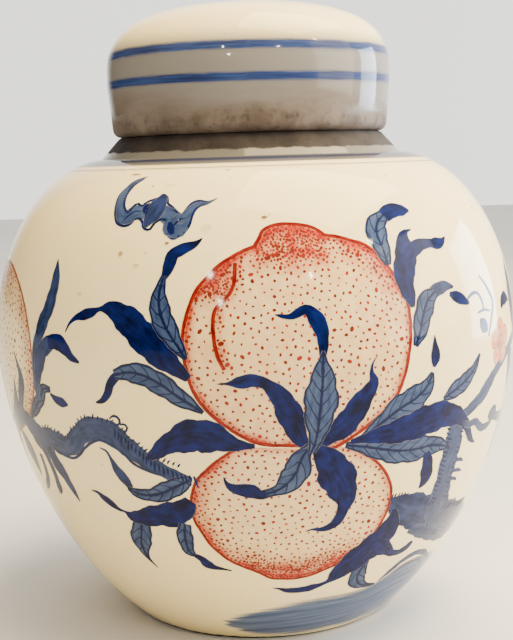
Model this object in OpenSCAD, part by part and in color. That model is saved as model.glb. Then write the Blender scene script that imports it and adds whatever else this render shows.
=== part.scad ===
// Porcelain ginger jar: a full-bellied jar on a foot ring, with a loose cap lid
// that drops over the neck and rests on the bare collar around it.
// Millimetres, +Z up, origin at the centre of the foot ring's underside.

/* [Body] */
// Widest diameter of the body, at the belly
body_d = 190; // [158:1:230]
// Height of the widest point above the table
belly_z = 103; // [90:1:125]
// Height at which the glazed shoulder meets the collar
shoulder_z = 165.5; // [150:0.5:200]
// How far the side runs straight up from the belly before it turns in
belly_rise = 26; // [10:1:35]
// How far the side runs straight down from the belly before it turns in
belly_fall = 26; // [10:1:35]
// How far the flat of the shoulder reaches out from the collar
shoulder_reach = 26; // [15:1:30]
// Drop of the shoulder over that reach
shoulder_drop = 2.5; // [0:0.5:6]
// Thickness of the body's wall
body_wall = 5; // [3.5:0.5:6.5]

/* [Foot] */
// Outer diameter of the foot ring
foot_d = 100; // [85:1:110]
// Width of the foot ring
foot_w = 7; // [4:0.5:10]
// Height of the recess inside the foot ring
foot_recess = 5; // [3:0.5:8]
// Slope of the recess's wall, measured sideways
foot_draft = 2; // [0:0.5:4]
// How far the wall flares out as it leaves the foot
foot_flare = 32.5; // [20:0.5:36]
// Height over which the wall flares out above the foot
flare_rise = 29.5; // [20:0.5:40]
// Thickness of the floor of the jar
floor_t = 6; // [4:0.5:10]
// Width of the slope between the floor and the inside wall
floor_slope = 6; // [2:0.5:10]

/* [Collar and neck] */
// Width of the slope of bare clay around the lid's seat
bare_w = 4.5; // [3:0.5:7]
// Height of that slope
bare_rise = 5; // [3:0.5:8]
// Width of the glazed slope between the bare clay and the shoulder
rim_glaze_w = 2.5; // [1.5:0.5:5]
// Height of that glazed slope
rim_glaze_rise = 2.5; // [1.5:0.5:5]
// How far the neck stands up inside the lid
neck_h = 18; // [10:1:24]
// Thickness of the neck's wall
neck_wall = 5; // [3:0.5:7]
// Radius of the rounding on the rim of the neck
rim_r = 1.5; // [0.5:0.5:1.5]

/* [Lid] */
// Diameter of the lid at its lower edge, which sets the seat, the neck and the mouth
lid_edge_d = 99.6; // [83:0.2:122]
// How far the lid's side swells out past its lower edge
lid_swell = 1.6; // [0:0.1:5]
// Height of the lid
lid_h = 46.4; // [38.6:0.2:70]
// Height of the lid's widest point above its lower edge
lid_belly_z = 22; // [15:1:24]
// How far the lid's side rises before it turns in to the crown
lid_side_rise = 18; // [8:1:20]
// How far the crown of the lid stays nearly flat, out from the middle
crown_reach = 36; // [25:1:40]
// Thickness of the lid's side
lid_wall = 4.5; // [3:0.5:5]
// Thickness of the lid's crown
crown_t = 5; // [3.5:0.5:7]
// Radius of the rounding on the lid's lower edge
lid_edge_r = 2.5; // [1:0.5:2.5]
// Gap all round between the neck and the lid
lid_gap = 1.2; // [0.6:0.1:2]

/* [Hidden] */
$fn = 128;

BARE_CLAY = "#b9a58f";
GLAZE = "#ece6d6";

// Number of straight steps that stand for each curved stretch of an outline
CURVE_STEPS = 24;
ARC_STEPS = 6;
// Width by which the seat reaches past the lid's flat edge
SEAT_MARGIN = 0.3;
// Height of the rounded corner where the inside of the shoulder turns up into the neck
THROAT_RISE = 6;

body_r = body_d / 2;
foot_r = foot_d / 2;
floor_z = foot_recess + floor_t;

lid_edge_out = lid_edge_d / 2;
lid_r = lid_edge_out + lid_swell;
lid_bore_r = lid_edge_out - lid_wall;
neck_r = lid_bore_r - lid_gap;
mouth_r = neck_r - neck_wall;

seat_r = lid_edge_out - lid_edge_r + SEAT_MARGIN;
bare_r = seat_r + bare_w;
collar_r = bare_r + rim_glaze_w;
seat_z = shoulder_z + rim_glaze_rise + bare_rise;
rim_z = seat_z + neck_h;

// Point at t on the cubic curve that four control points give
function curve_point(c, t) =
    pow(1 - t, 3) * c[0] + 3 * pow(1 - t, 2) * t * c[1]
    + 3 * (1 - t) * t * t * c[2] + t * t * t * c[3];

// Direction in which that curve runs at t
function curve_heading(c, t) =
    pow(1 - t, 2) * (c[1] - c[0]) + 2 * (1 - t) * t * (c[2] - c[1])
    + t * t * (c[3] - c[2]);

// The curve moved sideways by d, to the left of the way it runs
function curve_offset(c, t, d) =
    let (h = curve_heading(c, t))
    curve_point(c, t) + d * [-h.y, h.x] / norm(h);

// Evenly stepped points along a curve, moved sideways by d
function curve(c, d = 0) =
    [for (i = [0 : CURVE_STEPS]) curve_offset(c, i / CURVE_STEPS, d)];

// Points on an arc about a centre, from one angle to another
function arc(centre, r, from, to) =
    [for (i = [0 : ARC_STEPS])
        let (a = from + (to - from) * i / ARC_STEPS)
        centre + r * [cos(a), sin(a)]];

// The side of the jar: foot to belly, then belly to shoulder
lower_side = [
    [foot_r, 0],
    [foot_r + foot_flare, flare_rise],
    [body_r, belly_z - belly_fall],
    [body_r, belly_z],
];
upper_side = [
    [body_r, belly_z],
    [body_r, belly_z + belly_rise],
    [collar_r + shoulder_reach, shoulder_z - shoulder_drop],
    [collar_r, shoulder_z],
];

// The crown of the lid, and the same curve inside it
lid_crown = [
    [lid_r, lid_belly_z],
    [lid_r, lid_belly_z + lid_side_rise],
    [crown_reach, lid_h],
    [0, lid_h],
];
lid_crown_inside = [
    [lid_r - lid_wall, lid_belly_z],
    [lid_r - lid_wall, lid_belly_z + lid_side_rise - crown_t / 2],
    [crown_reach - lid_wall, lid_h - crown_t],
    [0, lid_h - crown_t],
];

// Outside of the jar, from the foot ring up over the rim
module jar_outside() {
    rotate_extrude()
        polygon(concat(
            [[0, 0]],
            curve(lower_side),
            curve(upper_side),
            [[bare_r, seat_z - bare_rise], [seat_r, seat_z], [neck_r, seat_z]],
            arc([neck_r - rim_r, rim_z - rim_r], rim_r, 0, 90),
            [[0, rim_z]]
        ));
}

// The hollow of the jar, open at the mouth, with the rim rounded into it
module jar_hollow() {
    wall_line = [for (p = concat(curve(lower_side, body_wall), curve(upper_side, body_wall)))
        if (p.y > floor_z + floor_slope / 2 && p.y < shoulder_z - body_wall && p.x > mouth_r) p];
    top = rim_z + rim_r;
    rotate_extrude()
        polygon(concat(
            [[0, floor_z], [wall_line[0].x - floor_slope, floor_z]],
            wall_line,
            [[mouth_r, shoulder_z + THROAT_RISE - body_wall]],
            arc([mouth_r + rim_r, rim_z - rim_r], rim_r, 180, 90),
            [[mouth_r + rim_r, top], [0, top]]
        ));
}

// The recess under the floor, inside the foot ring
module foot_hollow() {
    recess_r = foot_r - foot_w;
    cut = 1;
    rotate_extrude()
        polygon([
            [0, -cut],
            [recess_r, -cut],
            [recess_r, 0],
            [recess_r - foot_draft, foot_recess],
            [0, foot_recess],
        ]);
}

// Thrown and fired in one piece: foot ring, body, collar and neck
module jar() {
    color(GLAZE)
        difference() {
            jar_outside();
            jar_hollow();
            foot_hollow();
        }
}

// Cap that stands on the seat and covers the neck
module lid() {
    color(BARE_CLAY)
        translate([0, 0, seat_z])
            rotate_extrude()
                polygon(concat(
                    [[lid_bore_r, 0]],
                    arc([lid_edge_out - lid_edge_r, lid_edge_r], lid_edge_r, -90, 0),
                    curve(lid_crown),
                    [[0, lid_h - crown_t]],
                    [for (i = [CURVE_STEPS - 1 : -1 : 0])
                        curve_point(lid_crown_inside, i / CURVE_STEPS)]
                ));
}

jar();
lid();
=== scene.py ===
# %% [markdown]
# # A painted ginger jar
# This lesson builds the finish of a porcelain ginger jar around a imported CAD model. The CAD model
# gives the sizes and how the lid moves. Here the clay, the glaze and the brushwork are added.
# Everything is in metres in the frame's own axes, and the front of the painting faces -Y.

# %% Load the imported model
import math

import bpy
import numpy as np
from mathutils import Matrix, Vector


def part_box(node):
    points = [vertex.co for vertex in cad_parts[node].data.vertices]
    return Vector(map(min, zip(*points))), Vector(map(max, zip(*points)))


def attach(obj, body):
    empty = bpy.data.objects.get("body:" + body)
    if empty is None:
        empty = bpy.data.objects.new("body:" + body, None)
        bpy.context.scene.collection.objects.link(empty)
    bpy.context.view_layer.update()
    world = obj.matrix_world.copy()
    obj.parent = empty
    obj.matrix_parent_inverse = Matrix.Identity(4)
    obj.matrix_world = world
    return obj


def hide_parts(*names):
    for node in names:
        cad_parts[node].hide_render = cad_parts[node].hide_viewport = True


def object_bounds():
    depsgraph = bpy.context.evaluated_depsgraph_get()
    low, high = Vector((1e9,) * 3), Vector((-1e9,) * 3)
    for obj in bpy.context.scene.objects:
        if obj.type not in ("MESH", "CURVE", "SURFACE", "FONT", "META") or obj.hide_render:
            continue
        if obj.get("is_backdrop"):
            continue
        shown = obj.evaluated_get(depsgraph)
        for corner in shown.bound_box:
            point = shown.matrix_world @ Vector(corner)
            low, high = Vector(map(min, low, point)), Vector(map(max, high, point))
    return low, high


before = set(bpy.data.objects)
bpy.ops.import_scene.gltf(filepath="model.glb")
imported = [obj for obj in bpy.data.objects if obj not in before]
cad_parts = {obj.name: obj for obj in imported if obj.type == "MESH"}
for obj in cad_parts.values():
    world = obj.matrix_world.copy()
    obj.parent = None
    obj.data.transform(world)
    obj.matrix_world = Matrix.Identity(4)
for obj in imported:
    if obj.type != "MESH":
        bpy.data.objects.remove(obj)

cad_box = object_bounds()

# %% [markdown]
# The jar is turned on a wheel, so one half section says all of its shape. The overall sizes are
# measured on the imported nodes. The section's bends are given once here, in millimetres.

# %% Sizes of the jar and the lid, in millimetres
MM = 0.001
jar_high = np.array(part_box("jar")[1]) / MM
lid_low, lid_high = (np.array(corner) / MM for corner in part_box("lid"))

BODY_R = jar_high[0]
RIM_Z = jar_high[2]
SEAT_Z = lid_low[2]
LID_R = lid_high[0]
LID_H = lid_high[2] - lid_low[2]

FOOT_R = 50.0
BELLY_Z = 103.0
SHOULDER_Z = 165.5
COLLAR_R = 54.6
BARE_R = 52.1
BARE_Z = 168.0
SEAT_R = 47.6
NECK_R = 44.1
MOUTH_R = 39.1
LID_EDGE_R = 49.8
LID_BORE_R = 45.3
# The glaze lies this far inside the CAD wall, so that the paint on it ends at the CAD size.
FILM = 0.12
print("body", BODY_R, "rim", RIM_Z, "seat", SEAT_Z, "lid", LID_R, LID_H)

# %% [markdown]
# Two cubic curves make the jar's side and one makes the lid's crown. A curve through a few handles
# gives the same swelling line as the thrown pot, with no flat spots to show in a glossy glaze.

# %% Curves of the half section
def curve(handles, steps):
    """Points along the cubic curve that four handles give."""
    a, b, c, d = (np.array(handle, float) for handle in handles)
    t = np.linspace(0, 1, steps + 1)[:, None]
    return (1 - t) ** 3 * a + 3 * (1 - t) ** 2 * t * b + 3 * (1 - t) * t * t * c + t ** 3 * d


LOWER_SIDE = [(FOOT_R, 0), (82.5, 29.5), (BODY_R, 77), (BODY_R, BELLY_Z)]
UPPER_SIDE = [(BODY_R, BELLY_Z), (BODY_R, 129), (COLLAR_R + 26, 163), (COLLAR_R, SHOULDER_Z)]
LID_SIDE = [(LID_EDGE_R, SEAT_Z + 2.5), (LID_EDGE_R + 0.8, SEAT_Z + 9), (LID_R, SEAT_Z + 16),
            (LID_R, SEAT_Z + 22)]
LID_CROWN = [(LID_R, SEAT_Z + 22), (LID_R, SEAT_Z + 40), (36, SEAT_Z + LID_H), (0, SEAT_Z + LID_H)]


def headings(line):
    """The direction of a line at each of its points."""
    step = np.gradient(line, axis=0)
    return step / np.linalg.norm(step, axis=1)[:, None]


def moved_out(line, distance):
    """A line of the half section moved towards the outside of the wall."""
    heading = headings(line)
    return line + distance * np.stack([heading[:, 1], -heading[:, 0]], 1)


def joined(*lines):
    """Lines joined end to end, with the shared points kept once."""
    whole = np.vstack(lines)
    keep = np.r_[True, np.linalg.norm(np.diff(whole, axis=0), axis=1) > 1e-4]
    return whole[keep]


jar_side = joined(curve(LOWER_SIDE, 200), curve(UPPER_SIDE, 200))
lid_side = joined(curve(LID_SIDE, 60), curve(LID_CROWN, 200))

# %% [markdown]
# The painting is placed as a decorator would measure it: how far round the pot, in degrees from the
# middle of the front, and how far up the wall, in millimetres along the clay. These functions turn
# such a place into a point in space, a small lift off the glaze included.

# %% Places on the jar and the lid
def turned_surface(line):
    """A function that puts (degrees round, millimetres up the line, lift) in space."""
    steps = np.linalg.norm(np.diff(line, axis=0), axis=1)
    climb = np.r_[0, np.cumsum(steps)]
    heading = headings(line)

    def place(turn, up, lift=0.0):
        r = np.interp(up, climb, line[:, 0]) + lift * np.interp(up, climb, heading[:, 1])
        z = np.interp(up, climb, line[:, 1]) - lift * np.interp(up, climb, heading[:, 0])
        angle = np.radians(turn)
        return np.stack([r * np.sin(angle), -r * np.cos(angle), z], -1)

    place.climb = climb
    return place


on_jar = turned_surface(moved_out(jar_side, -FILM))
on_lid = turned_surface(moved_out(lid_side, -FILM))
crown_line = moved_out(lid_side, -FILM)[::-1]


def on_crown(x, y, lift=0.0):
    """A point on top of the lid, from millimetres right of its middle and behind it."""
    r = np.hypot(x, y)
    z = np.interp(r, crown_line[:, 0], crown_line[:, 1]) + lift
    return np.stack([x + 0 * z, y + 0 * z, z], -1)


print("wall length", round(float(on_jar.climb[-1]), 1), "mm")

# %% [markdown]
# Every colour below is written as an sRGB hex value, the way a glaze chart would give it. Blender's
# sockets want linear light, so one function turns them. One more function adds any shader node.
# Each finish is written once as a function of its node tree, so that the jar and every brushstroke
# on it share exactly the same glaze, and a pale wash can fade into it with no visible edge.

# %% Colour and node helpers
def linear(hex_colour):
    """The linear RGBA of an sRGB hex colour."""
    parts = [int(hex_colour[i:i + 2], 16) / 255 for i in (1, 3, 5)]
    return [c / 12.92 if c <= 0.04045 else ((c + 0.055) / 1.055) ** 2.4 for c in parts] + [1.0]


# The nodes used most, by a short name: the full kind, its settings, the inputs that plain values
# fill in turn, and the output wanted. A kind that is no full name and isn't here is a sum.
SHORT = {"MIX": ("ShaderNodeMix", {"data_type": "RGBA"}, (0, 6, 7), 2),
         "STEP": ("ShaderNodeMapRange", {"interpolation_type": "SMOOTHSTEP"}, (0, 1, 2), 0),
         "NOISE": ("ShaderNodeTexNoise", {}, ("Vector", "Scale", "Detail", "Roughness"), 0)}


def add(tree, kind, *values, out=None, **settings):
    """An output of a new shader node. Each value is a socket to link from, a hex colour or a
    number, for the inputs in turn, or the first value is a dictionary of all of them."""
    slots, wanted = range(len(values)), 0
    if kind in SHORT:
        kind, fixed, slots, wanted = SHORT[kind]
        settings = {**fixed, **settings}
    elif not kind.startswith("ShaderNode"):
        kind, settings = "ShaderNodeMath", {"operation": kind, **settings}
    node = tree.nodes.new(kind)
    for name, value in settings.items():
        setattr(node, name, value)
    inputs = values[0] if values and isinstance(values[0], dict) else dict(zip(slots, values))
    for key, value in inputs.items():
        if isinstance(value, bpy.types.NodeSocket):
            tree.links.new(value, node.inputs[key])
        else:
            node.inputs[key].default_value = linear(value) if isinstance(value, str) else value
    return node.outputs[wanted if out is None else out]


def per_metre(size_mm):
    """The scale of a pattern whose blotches or cells are about that many millimetres across."""
    return 1 / (size_mm * MM)


def new_material(name):
    """An empty material with its tree, its output and the object's own coordinates."""
    material = bpy.data.materials.new(name)
    material.use_nodes = True
    tree = material.node_tree
    tree.nodes.clear()
    output = tree.nodes.new("ShaderNodeOutputMaterial")
    place = add(tree, "ShaderNodeTexCoord", out="Object")
    return material, tree, output, place


# %% [markdown]
# The glaze is a clear lime-feldspar glaze on a cream porcelain body, dipped and wood-ash warm. Under
# the gloss it shows slow warm and cool clouds a few centimetres across and grains of iron a fraction
# of a millimetre wide. The surface has a faint orange-peel swell a few millimetres wide.

# %% Porcelain glaze
GLAZE_IOR = 1.5
BUMP_DEPTH = 0.4 * MM


def glaze_colour(tree, place):
    """The colour of the glazed body at a place."""
    clouds = add(tree, "STEP", add(tree, "NOISE", place, per_metre(45), 2.0), 0.35, 0.68)
    colour = add(tree, "MIX", clouds, "#FFE8A6", "#FAE4B0")
    fine = add(tree, "STEP", add(tree, "NOISE", place, per_metre(7), 4.0), 0.3, 0.75)
    colour = add(tree, "MIX", add(tree, "MULTIPLY", fine, 0.35), colour, "#FFF0BE")
    grain = add(tree, "ShaderNodeTexVoronoi", {"Vector": place, "Scale": per_metre(7.0)})
    speck = add(tree, "STEP", grain, 0.06, 0.035)
    chance = add(tree, "ShaderNodeSeparateColor", grain.node.outputs["Color"])
    speck = add(tree, "MULTIPLY", speck, add(tree, "STEP", chance, 0.80, 0.84))
    return add(tree, "MIX", add(tree, "MULTIPLY", speck, 0.5), colour, "#8A6A4C")


def glaze_bump(tree, place):
    """The faint swell of a thick glaze, as a normal."""
    swell = add(tree, "NOISE", place, per_metre(9), 2.0)
    return add(tree, "ShaderNodeBump", {"Height": swell, "Strength": 0.10, "Distance": BUMP_DEPTH})


def glaze_shine(tree, place):
    """Roughness of the glaze: glossy, with wiped and dusty areas a little duller."""
    dull = add(tree, "STEP", add(tree, "NOISE", place, per_metre(30), 4.0), 0.4, 0.75)
    return add(tree, "ShaderNodeMapRange", dull, 0.0, 1.0, 0.05, 0.11)


def clay_colour(tree, place, shade, light):
    """Bare fired clay, stained brown by handling and dust."""
    stain = add(tree, "STEP", add(tree, "NOISE", place, per_metre(11), 5.0, 0.62), 0.32, 0.68)
    colour = add(tree, "MIX", stain, shade, light)
    dark = add(tree, "STEP", add(tree, "NOISE", place, per_metre(3.2), 4.0, 0.6), 0.52, 0.72)
    return add(tree, "MIX", add(tree, "MULTIPLY", dark, 0.6), colour, "#2B201A")


def radius(tree, place):
    """Distance from the axis of the jar, in metres."""
    parts = add(tree, "ShaderNodeSeparateXYZ", place).node.outputs
    flat = add(tree, "ShaderNodeCombineXYZ", parts[0], parts[1])
    return add(tree, "ShaderNodeVectorMath", flat, operation="LENGTH", out="Value")


def height(tree, place):
    """Height above the table, in metres."""
    return add(tree, "ShaderNodeSeparateXYZ", place, out=2)


def glazed_and_bare(name, bare_share, extra, clay):
    """Glazed porcelain with bare clay where bare_share says, as a finished material."""
    material, tree, output, place = new_material(name)
    share = bare_share(tree, place)
    colour = glaze_colour(tree, place)
    colour = extra(tree, place, colour)
    colour = add(tree, "MIX", share, colour, clay_colour(tree, place, *clay))
    shine = glaze_shine(tree, place)
    rough = add(tree, "ShaderNodeMapRange", share, 0.0, 1.0, shine, 0.78)
    grit = add(tree, "NOISE", place, per_metre(0.8), 3.0)
    swell = add(tree, "NOISE", place, per_metre(9), 2.0)
    relief = add(tree, "ShaderNodeMix", {0: share, 2: swell, 3: grit})
    normal = add(tree, "ShaderNodeBump", {"Height": relief, "Strength": 0.12, "Distance": BUMP_DEPTH})
    shader = add(tree, "ShaderNodeBsdfPrincipled", {
        "Base Color": colour, "Roughness": rough, "Normal": normal, "IOR": GLAZE_IOR,
        "Specular IOR Level": 0.24})
    tree.links.new(shader, output.inputs[0])
    return material


def jar_bare(tree, place):
    """Where the glaze was wiped off the jar: under the foot, and from the collar's slope up the neck."""
    ragged = add(tree, "MULTIPLY", add(tree, "SUBTRACT", add(tree, "NOISE", place, per_metre(5), 4.0), 0.5),
                 1.6 * MM)
    high = add(tree, "ADD", height(tree, place), ragged)
    foot = add(tree, "STEP", high, 1.5 * MM, 0.9 * MM)
    away = add(tree, "STEP", radius(tree, place), 40.6 * MM, 41.4 * MM)
    collar = add(tree, "STEP", high, 167.2 * MM, 167.9 * MM)
    return add(tree, "MAXIMUM", foot, add(tree, "MULTIPLY", collar, away))


def jar_tint(tree, place, colour):
    """The grey of the thin glaze on the slope beside the bare clay."""
    out = add(tree, "STEP", radius(tree, place), 63 * MM, 59 * MM)
    up = add(tree, "STEP", height(tree, place), 160 * MM, 162 * MM)
    outside = add(tree, "STEP", radius(tree, place), 49 * MM, 50 * MM)
    share = add(tree, "MULTIPLY", add(tree, "MULTIPLY", out, up), outside)
    return add(tree, "MIX", add(tree, "MULTIPLY", share, 0.92), colour, "#504F4F")


def wheel_cloud(tree, place, size_mm, detail=4.0):
    """Noise drawn out sideways, as a wet sponge on the turning wheel leaves it."""
    flat = add(tree, "ShaderNodeMapping", {"Vector": place, "Scale": (0.7, 0.7, 3.0)})
    return add(tree, "NOISE", flat, per_metre(size_mm), detail, 0.6)


def lid_bare(tree, place):
    """Where the lid was wiped: its lower edge and inside, with a ragged border."""
    ragged = add(tree, "MULTIPLY", add(tree, "SUBTRACT", wheel_cloud(tree, place, 14), 0.5), 10 * MM)
    high = add(tree, "ADD", height(tree, place), ragged)
    side = add(tree, "STEP", high, 183.5 * MM, 177.0 * MM)
    return add(tree, "MULTIPLY", side, 0.92)


def lid_tint(tree, place, colour):
    """The thin grey glaze on the lid's side, with smudges that rise out of the bare edge."""
    ragged = add(tree, "MULTIPLY", add(tree, "SUBTRACT", wheel_cloud(tree, place, 30), 0.5), 20 * MM)
    high = add(tree, "ADD", height(tree, place), ragged)
    grey = add(tree, "STEP", height(tree, place), 208 * MM, 199 * MM)
    colour = add(tree, "MIX", add(tree, "MULTIPLY", grey, 0.95), colour, "#727173")
    smudge = add(tree, "STEP", high, 192 * MM, 178 * MM)
    return add(tree, "MIX", add(tree, "MULTIPLY", smudge, 0.85), colour, "#6A5D51")


# The jar's bare clay is set much darker than the lid's: partly the fired clay, partly painted shade where
# the lid hangs over the collar. The foot takes the same tones.
glazed_jar = glazed_and_bare("glazed_porcelain_jar", jar_bare, jar_tint, ("#221D1B", "#3A332F"))
glazed_lid = glazed_and_bare("glazed_porcelain_lid", lid_bare, lid_tint, ("#4E433C", "#776B62"))
print("materials", glazed_jar.name, glazed_lid.name)

# %% [markdown]
# The two pots are turned. A plane is shrunk to one point, the point is drawn along the half section
# by extruding, and the line is spun once round the axis, just as a template turns clay. The doubles
# are merged before the normals are made to agree.

# %% Turning a half section into a pot
def deselect_all():
    """Nothing selected, out of edit mode."""
    if bpy.context.object and bpy.context.object.mode != "OBJECT":
        bpy.ops.object.mode_set(mode="OBJECT")
    bpy.ops.object.select_all(action="DESELECT")


def turned(name, section, material, smooth=35):
    """A pot turned from its half section, given as (radius, height) in millimetres."""
    deselect_all()
    bpy.ops.mesh.primitive_plane_add(size=0.001, location=(0, 0, 0))
    pot = bpy.context.object
    pot.name = name
    pot.data.name = name
    bpy.ops.object.mode_set(mode="EDIT")
    bpy.ops.mesh.select_all(action="SELECT")
    bpy.ops.mesh.merge(type="CENTER")
    bpy.ops.mesh.select_all(action="SELECT")
    start = section[0]
    bpy.ops.transform.translate(value=(0, -start[0] * MM, start[1] * MM))
    for here, there in zip(section[:-1], section[1:]):
        move = (0, -(there[0] - here[0]) * MM, (there[1] - here[1]) * MM)
        bpy.ops.mesh.extrude_region_move(TRANSFORM_OT_translate={"value": move})
    bpy.ops.mesh.select_all(action="SELECT")
    bpy.ops.mesh.spin(steps=256, angle=2 * math.pi, center=(0, 0, 0), axis=(0, 0, 1))
    bpy.ops.mesh.select_all(action="SELECT")
    bpy.ops.mesh.remove_doubles(threshold=0.00001)
    bpy.ops.mesh.normals_make_consistent(inside=False)
    bpy.ops.object.mode_set(mode="OBJECT")
    bpy.ops.object.shade_smooth_by_angle(angle=math.radians(smooth))
    pot.data.materials.clear()
    pot.data.materials.append(material)
    print(name, len(pot.data.polygons), "faces")
    return pot


def rounded(corner, before, after, r, steps=4):
    """Points that round a corner of the section with about that radius."""
    corner, before, after = (np.array(p, float) for p in (corner, before, after))
    start = corner + r * (before - corner) / np.linalg.norm(before - corner)
    end = corner + r * (after - corner) / np.linalg.norm(after - corner)
    t = np.linspace(0, 1, steps + 1)[:, None]
    return (1 - t) ** 2 * start + 2 * (1 - t) * t * corner + t * t * end


# %% [markdown]
# The jar's section goes up the outside from the middle of its underside, over the rim, and down the
# inside to the floor. The foot ring, the slope of bare clay and the rim have softened edges, as
# wiped and sponged clay does.

# %% The jar
outside = moved_out(joined(curve(LOWER_SIDE, 36), curve(UPPER_SIDE, 40)), -FILM)
inside = moved_out(joined(curve(LOWER_SIDE, 26), curve(UPPER_SIDE, 28)), -5.0)[::-1]
inside = inside[(inside[:, 1] > 14) & (inside[:, 1] < 160.5) & (inside[:, 0] > MOUTH_R)]
jar_section = joined(
    [(0, 5.2)],
    rounded((41.1, 5.2), (0, 5.2), (43.1, 0.02), 2.0),
    rounded((43.1, 0.02), (41.1, 5.2), (49, 0.02), 0.9),
    rounded((FOOT_R - FILM, 0.02), (44, 0.02), outside[4], 0.8),
    outside[2:],
    rounded((BARE_R, BARE_Z), outside[-1], (SEAT_R, SEAT_Z - 0.05), 0.6),
    rounded((SEAT_R, SEAT_Z - 0.05), (BARE_R, BARE_Z), (NECK_R, SEAT_Z - 0.05), 0.9),
    rounded((NECK_R, SEAT_Z - 0.05), (SEAT_R, SEAT_Z - 0.05), (NECK_R, RIM_Z), 0.7),
    rounded((NECK_R, RIM_Z - 0.02), (NECK_R, SEAT_Z), (MOUTH_R, RIM_Z - 0.02), 1.5, 6),
    rounded((MOUTH_R, RIM_Z - 0.02), (NECK_R, RIM_Z - 0.02), (MOUTH_R, SEAT_Z), 1.5, 6),
    [(MOUTH_R, 172.0)],
    rounded((MOUTH_R, 161.5), (MOUTH_R, 172.0), inside[0], 6.0, 6),
    inside,
    rounded((inside[-1][0] - 5, 11.0), inside[-1], (0, 11.0), 4.0, 5),
    [(20, 10.9), (0, 10.8)],
)
jar = turned("painted_jar", jar_section, glazed_jar)
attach(jar, "jar")
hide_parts("jar")

# %% [markdown]
# The lid is turned in the same way. It is a cap that drops over the neck, so its side is nearly
# straight and only its crown is domed. Its lower edge is rounded and bare.

# %% The lid
lid_outside = moved_out(joined(curve(LID_SIDE, 12), curve(LID_CROWN, 44)), -FILM)
lid_inside = joined(curve([(LID_R - 4.5, SEAT_Z + 22), (LID_R - 4.5, SEAT_Z + 37.5),
                           (31.5, SEAT_Z + 41.4), (0, SEAT_Z + 41.4)], 26))[::-1]
lid_section = joined(
    lid_inside,
    [(LID_BORE_R + 0.8, SEAT_Z + 10)],
    rounded((LID_BORE_R, SEAT_Z + 0.03), (LID_BORE_R + 0.8, SEAT_Z + 10), (47, SEAT_Z + 0.03), 0.6),
    rounded((LID_EDGE_R - 0.05, SEAT_Z + 0.03), (LID_BORE_R, SEAT_Z + 0.03), lid_outside[3], 3.4, 8),
    lid_outside[3:],
)
lid = turned("painted_lid", lid_section, glazed_lid)
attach(lid, "lid")
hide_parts("lid")

# %% [markdown]
# The decoration is brushed on: cobalt under the glaze, iron red on top. Each brushstroke is a thin
# film that follows the wall. A grid primitive gives its cells, the cells are laid along the stroke,
# and a solidify modifier gives it a closed body that sinks into the glaze. The film keeps, at each
# point, how far along and across the stroke it is, so the finish can follow the brush.

# %% Films of paint
DEGREE = math.pi / 180


def wall_radius(up):
    """Radius of the jar's wall in millimetres, at a distance up the wall."""
    return np.linalg.norm(on_jar(0 * np.array(up, float), up)[..., :2], axis=-1)


def film(points, layers, rows, columns):
    """A closed film of paint whose top takes the given points, row by row across the stroke."""
    deselect_all()
    bpy.ops.mesh.primitive_grid_add(x_subdivisions=columns - 1, y_subdivisions=rows - 1, size=2)
    patch = bpy.context.object
    flat = np.empty(len(patch.data.vertices) * 3)
    patch.data.vertices.foreach_get("co", flat)
    flat = flat.reshape(-1, 3)
    column = np.rint((flat[:, 0] + 1) / 2 * (columns - 1)).astype(int)
    row = np.rint((flat[:, 1] + 1) / 2 * (rows - 1)).astype(int)
    patch.data.vertices.foreach_set("co", (points[row, column] * MM).ravel())
    for name, values in layers.items():
        layer = patch.data.attributes.new(name, "FLOAT", "POINT")
        spread = np.broadcast_to(values, (rows, columns))[row, column]
        layer.data.foreach_set("value", spread.astype(np.float32))
    patch.data.update()
    return patch


def finished(name, patches, material, body, thickness=0.25):
    """Films joined into one piece, thickened into the glaze, painted and tied to a body."""
    deselect_all()
    for patch in patches:
        patch.select_set(True)
    piece = patches[0]
    bpy.context.view_layer.objects.active = piece
    if len(patches) > 1:
        bpy.ops.object.join()
    if thickness:
        solid = piece.modifiers.new("film", "SOLIDIFY")
        solid.thickness = thickness * MM
        solid.offset = -1
        bpy.ops.object.modifier_apply(modifier="film")
    bpy.ops.object.transform_apply(location=True, rotation=True, scale=True)
    bpy.ops.object.shade_smooth_by_angle(angle=math.radians(40))
    piece.name = name
    piece.data.name = name
    piece.data.materials.clear()
    piece.data.materials.append(material)
    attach(piece, body)
    print(name, len(piece.data.polygons), "faces")
    return piece


def soft_curve(points, gaps, knots, slopes, at):
    """Places at distances along a curve that passes through points with the given slopes."""
    cell = np.clip(np.searchsorted(knots, at, side="right") - 1, 0, len(gaps) - 1)
    h = gaps[cell][:, None]
    t = ((at - knots[cell]) / gaps[cell])[:, None]
    return ((2 * t ** 3 - 3 * t ** 2 + 1) * points[cell] + (t ** 3 - 2 * t ** 2 + t) * h * slopes[cell]
            + (3 * t ** 2 - 2 * t ** 3) * points[cell + 1] + (t ** 3 - t ** 2) * h * slopes[cell + 1])


def smooth_path(points, step):
    """A soft curve through given points, and how far along it each of its points lies."""
    points = np.array(points, float)
    scale = np.ones(points.shape[1])
    scale[0] = wall_radius(points[:, 1].mean()) * DEGREE
    gaps = np.linalg.norm(np.diff(points[:, :2], axis=0) * scale[:2], axis=1)
    knots = np.r_[0, np.cumsum(gaps)]
    if len(points) > 2:
        slopes = np.gradient(points, knots, axis=0)
    else:
        slopes = np.diff(points, axis=0)[[0, 0]] / gaps[0]
    count = max(3, int(math.ceil(knots[-1] / step)) + 1)
    at = np.linspace(0, knots[-1], count)
    return soft_curve(points, gaps, knots, slopes, at), at


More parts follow.
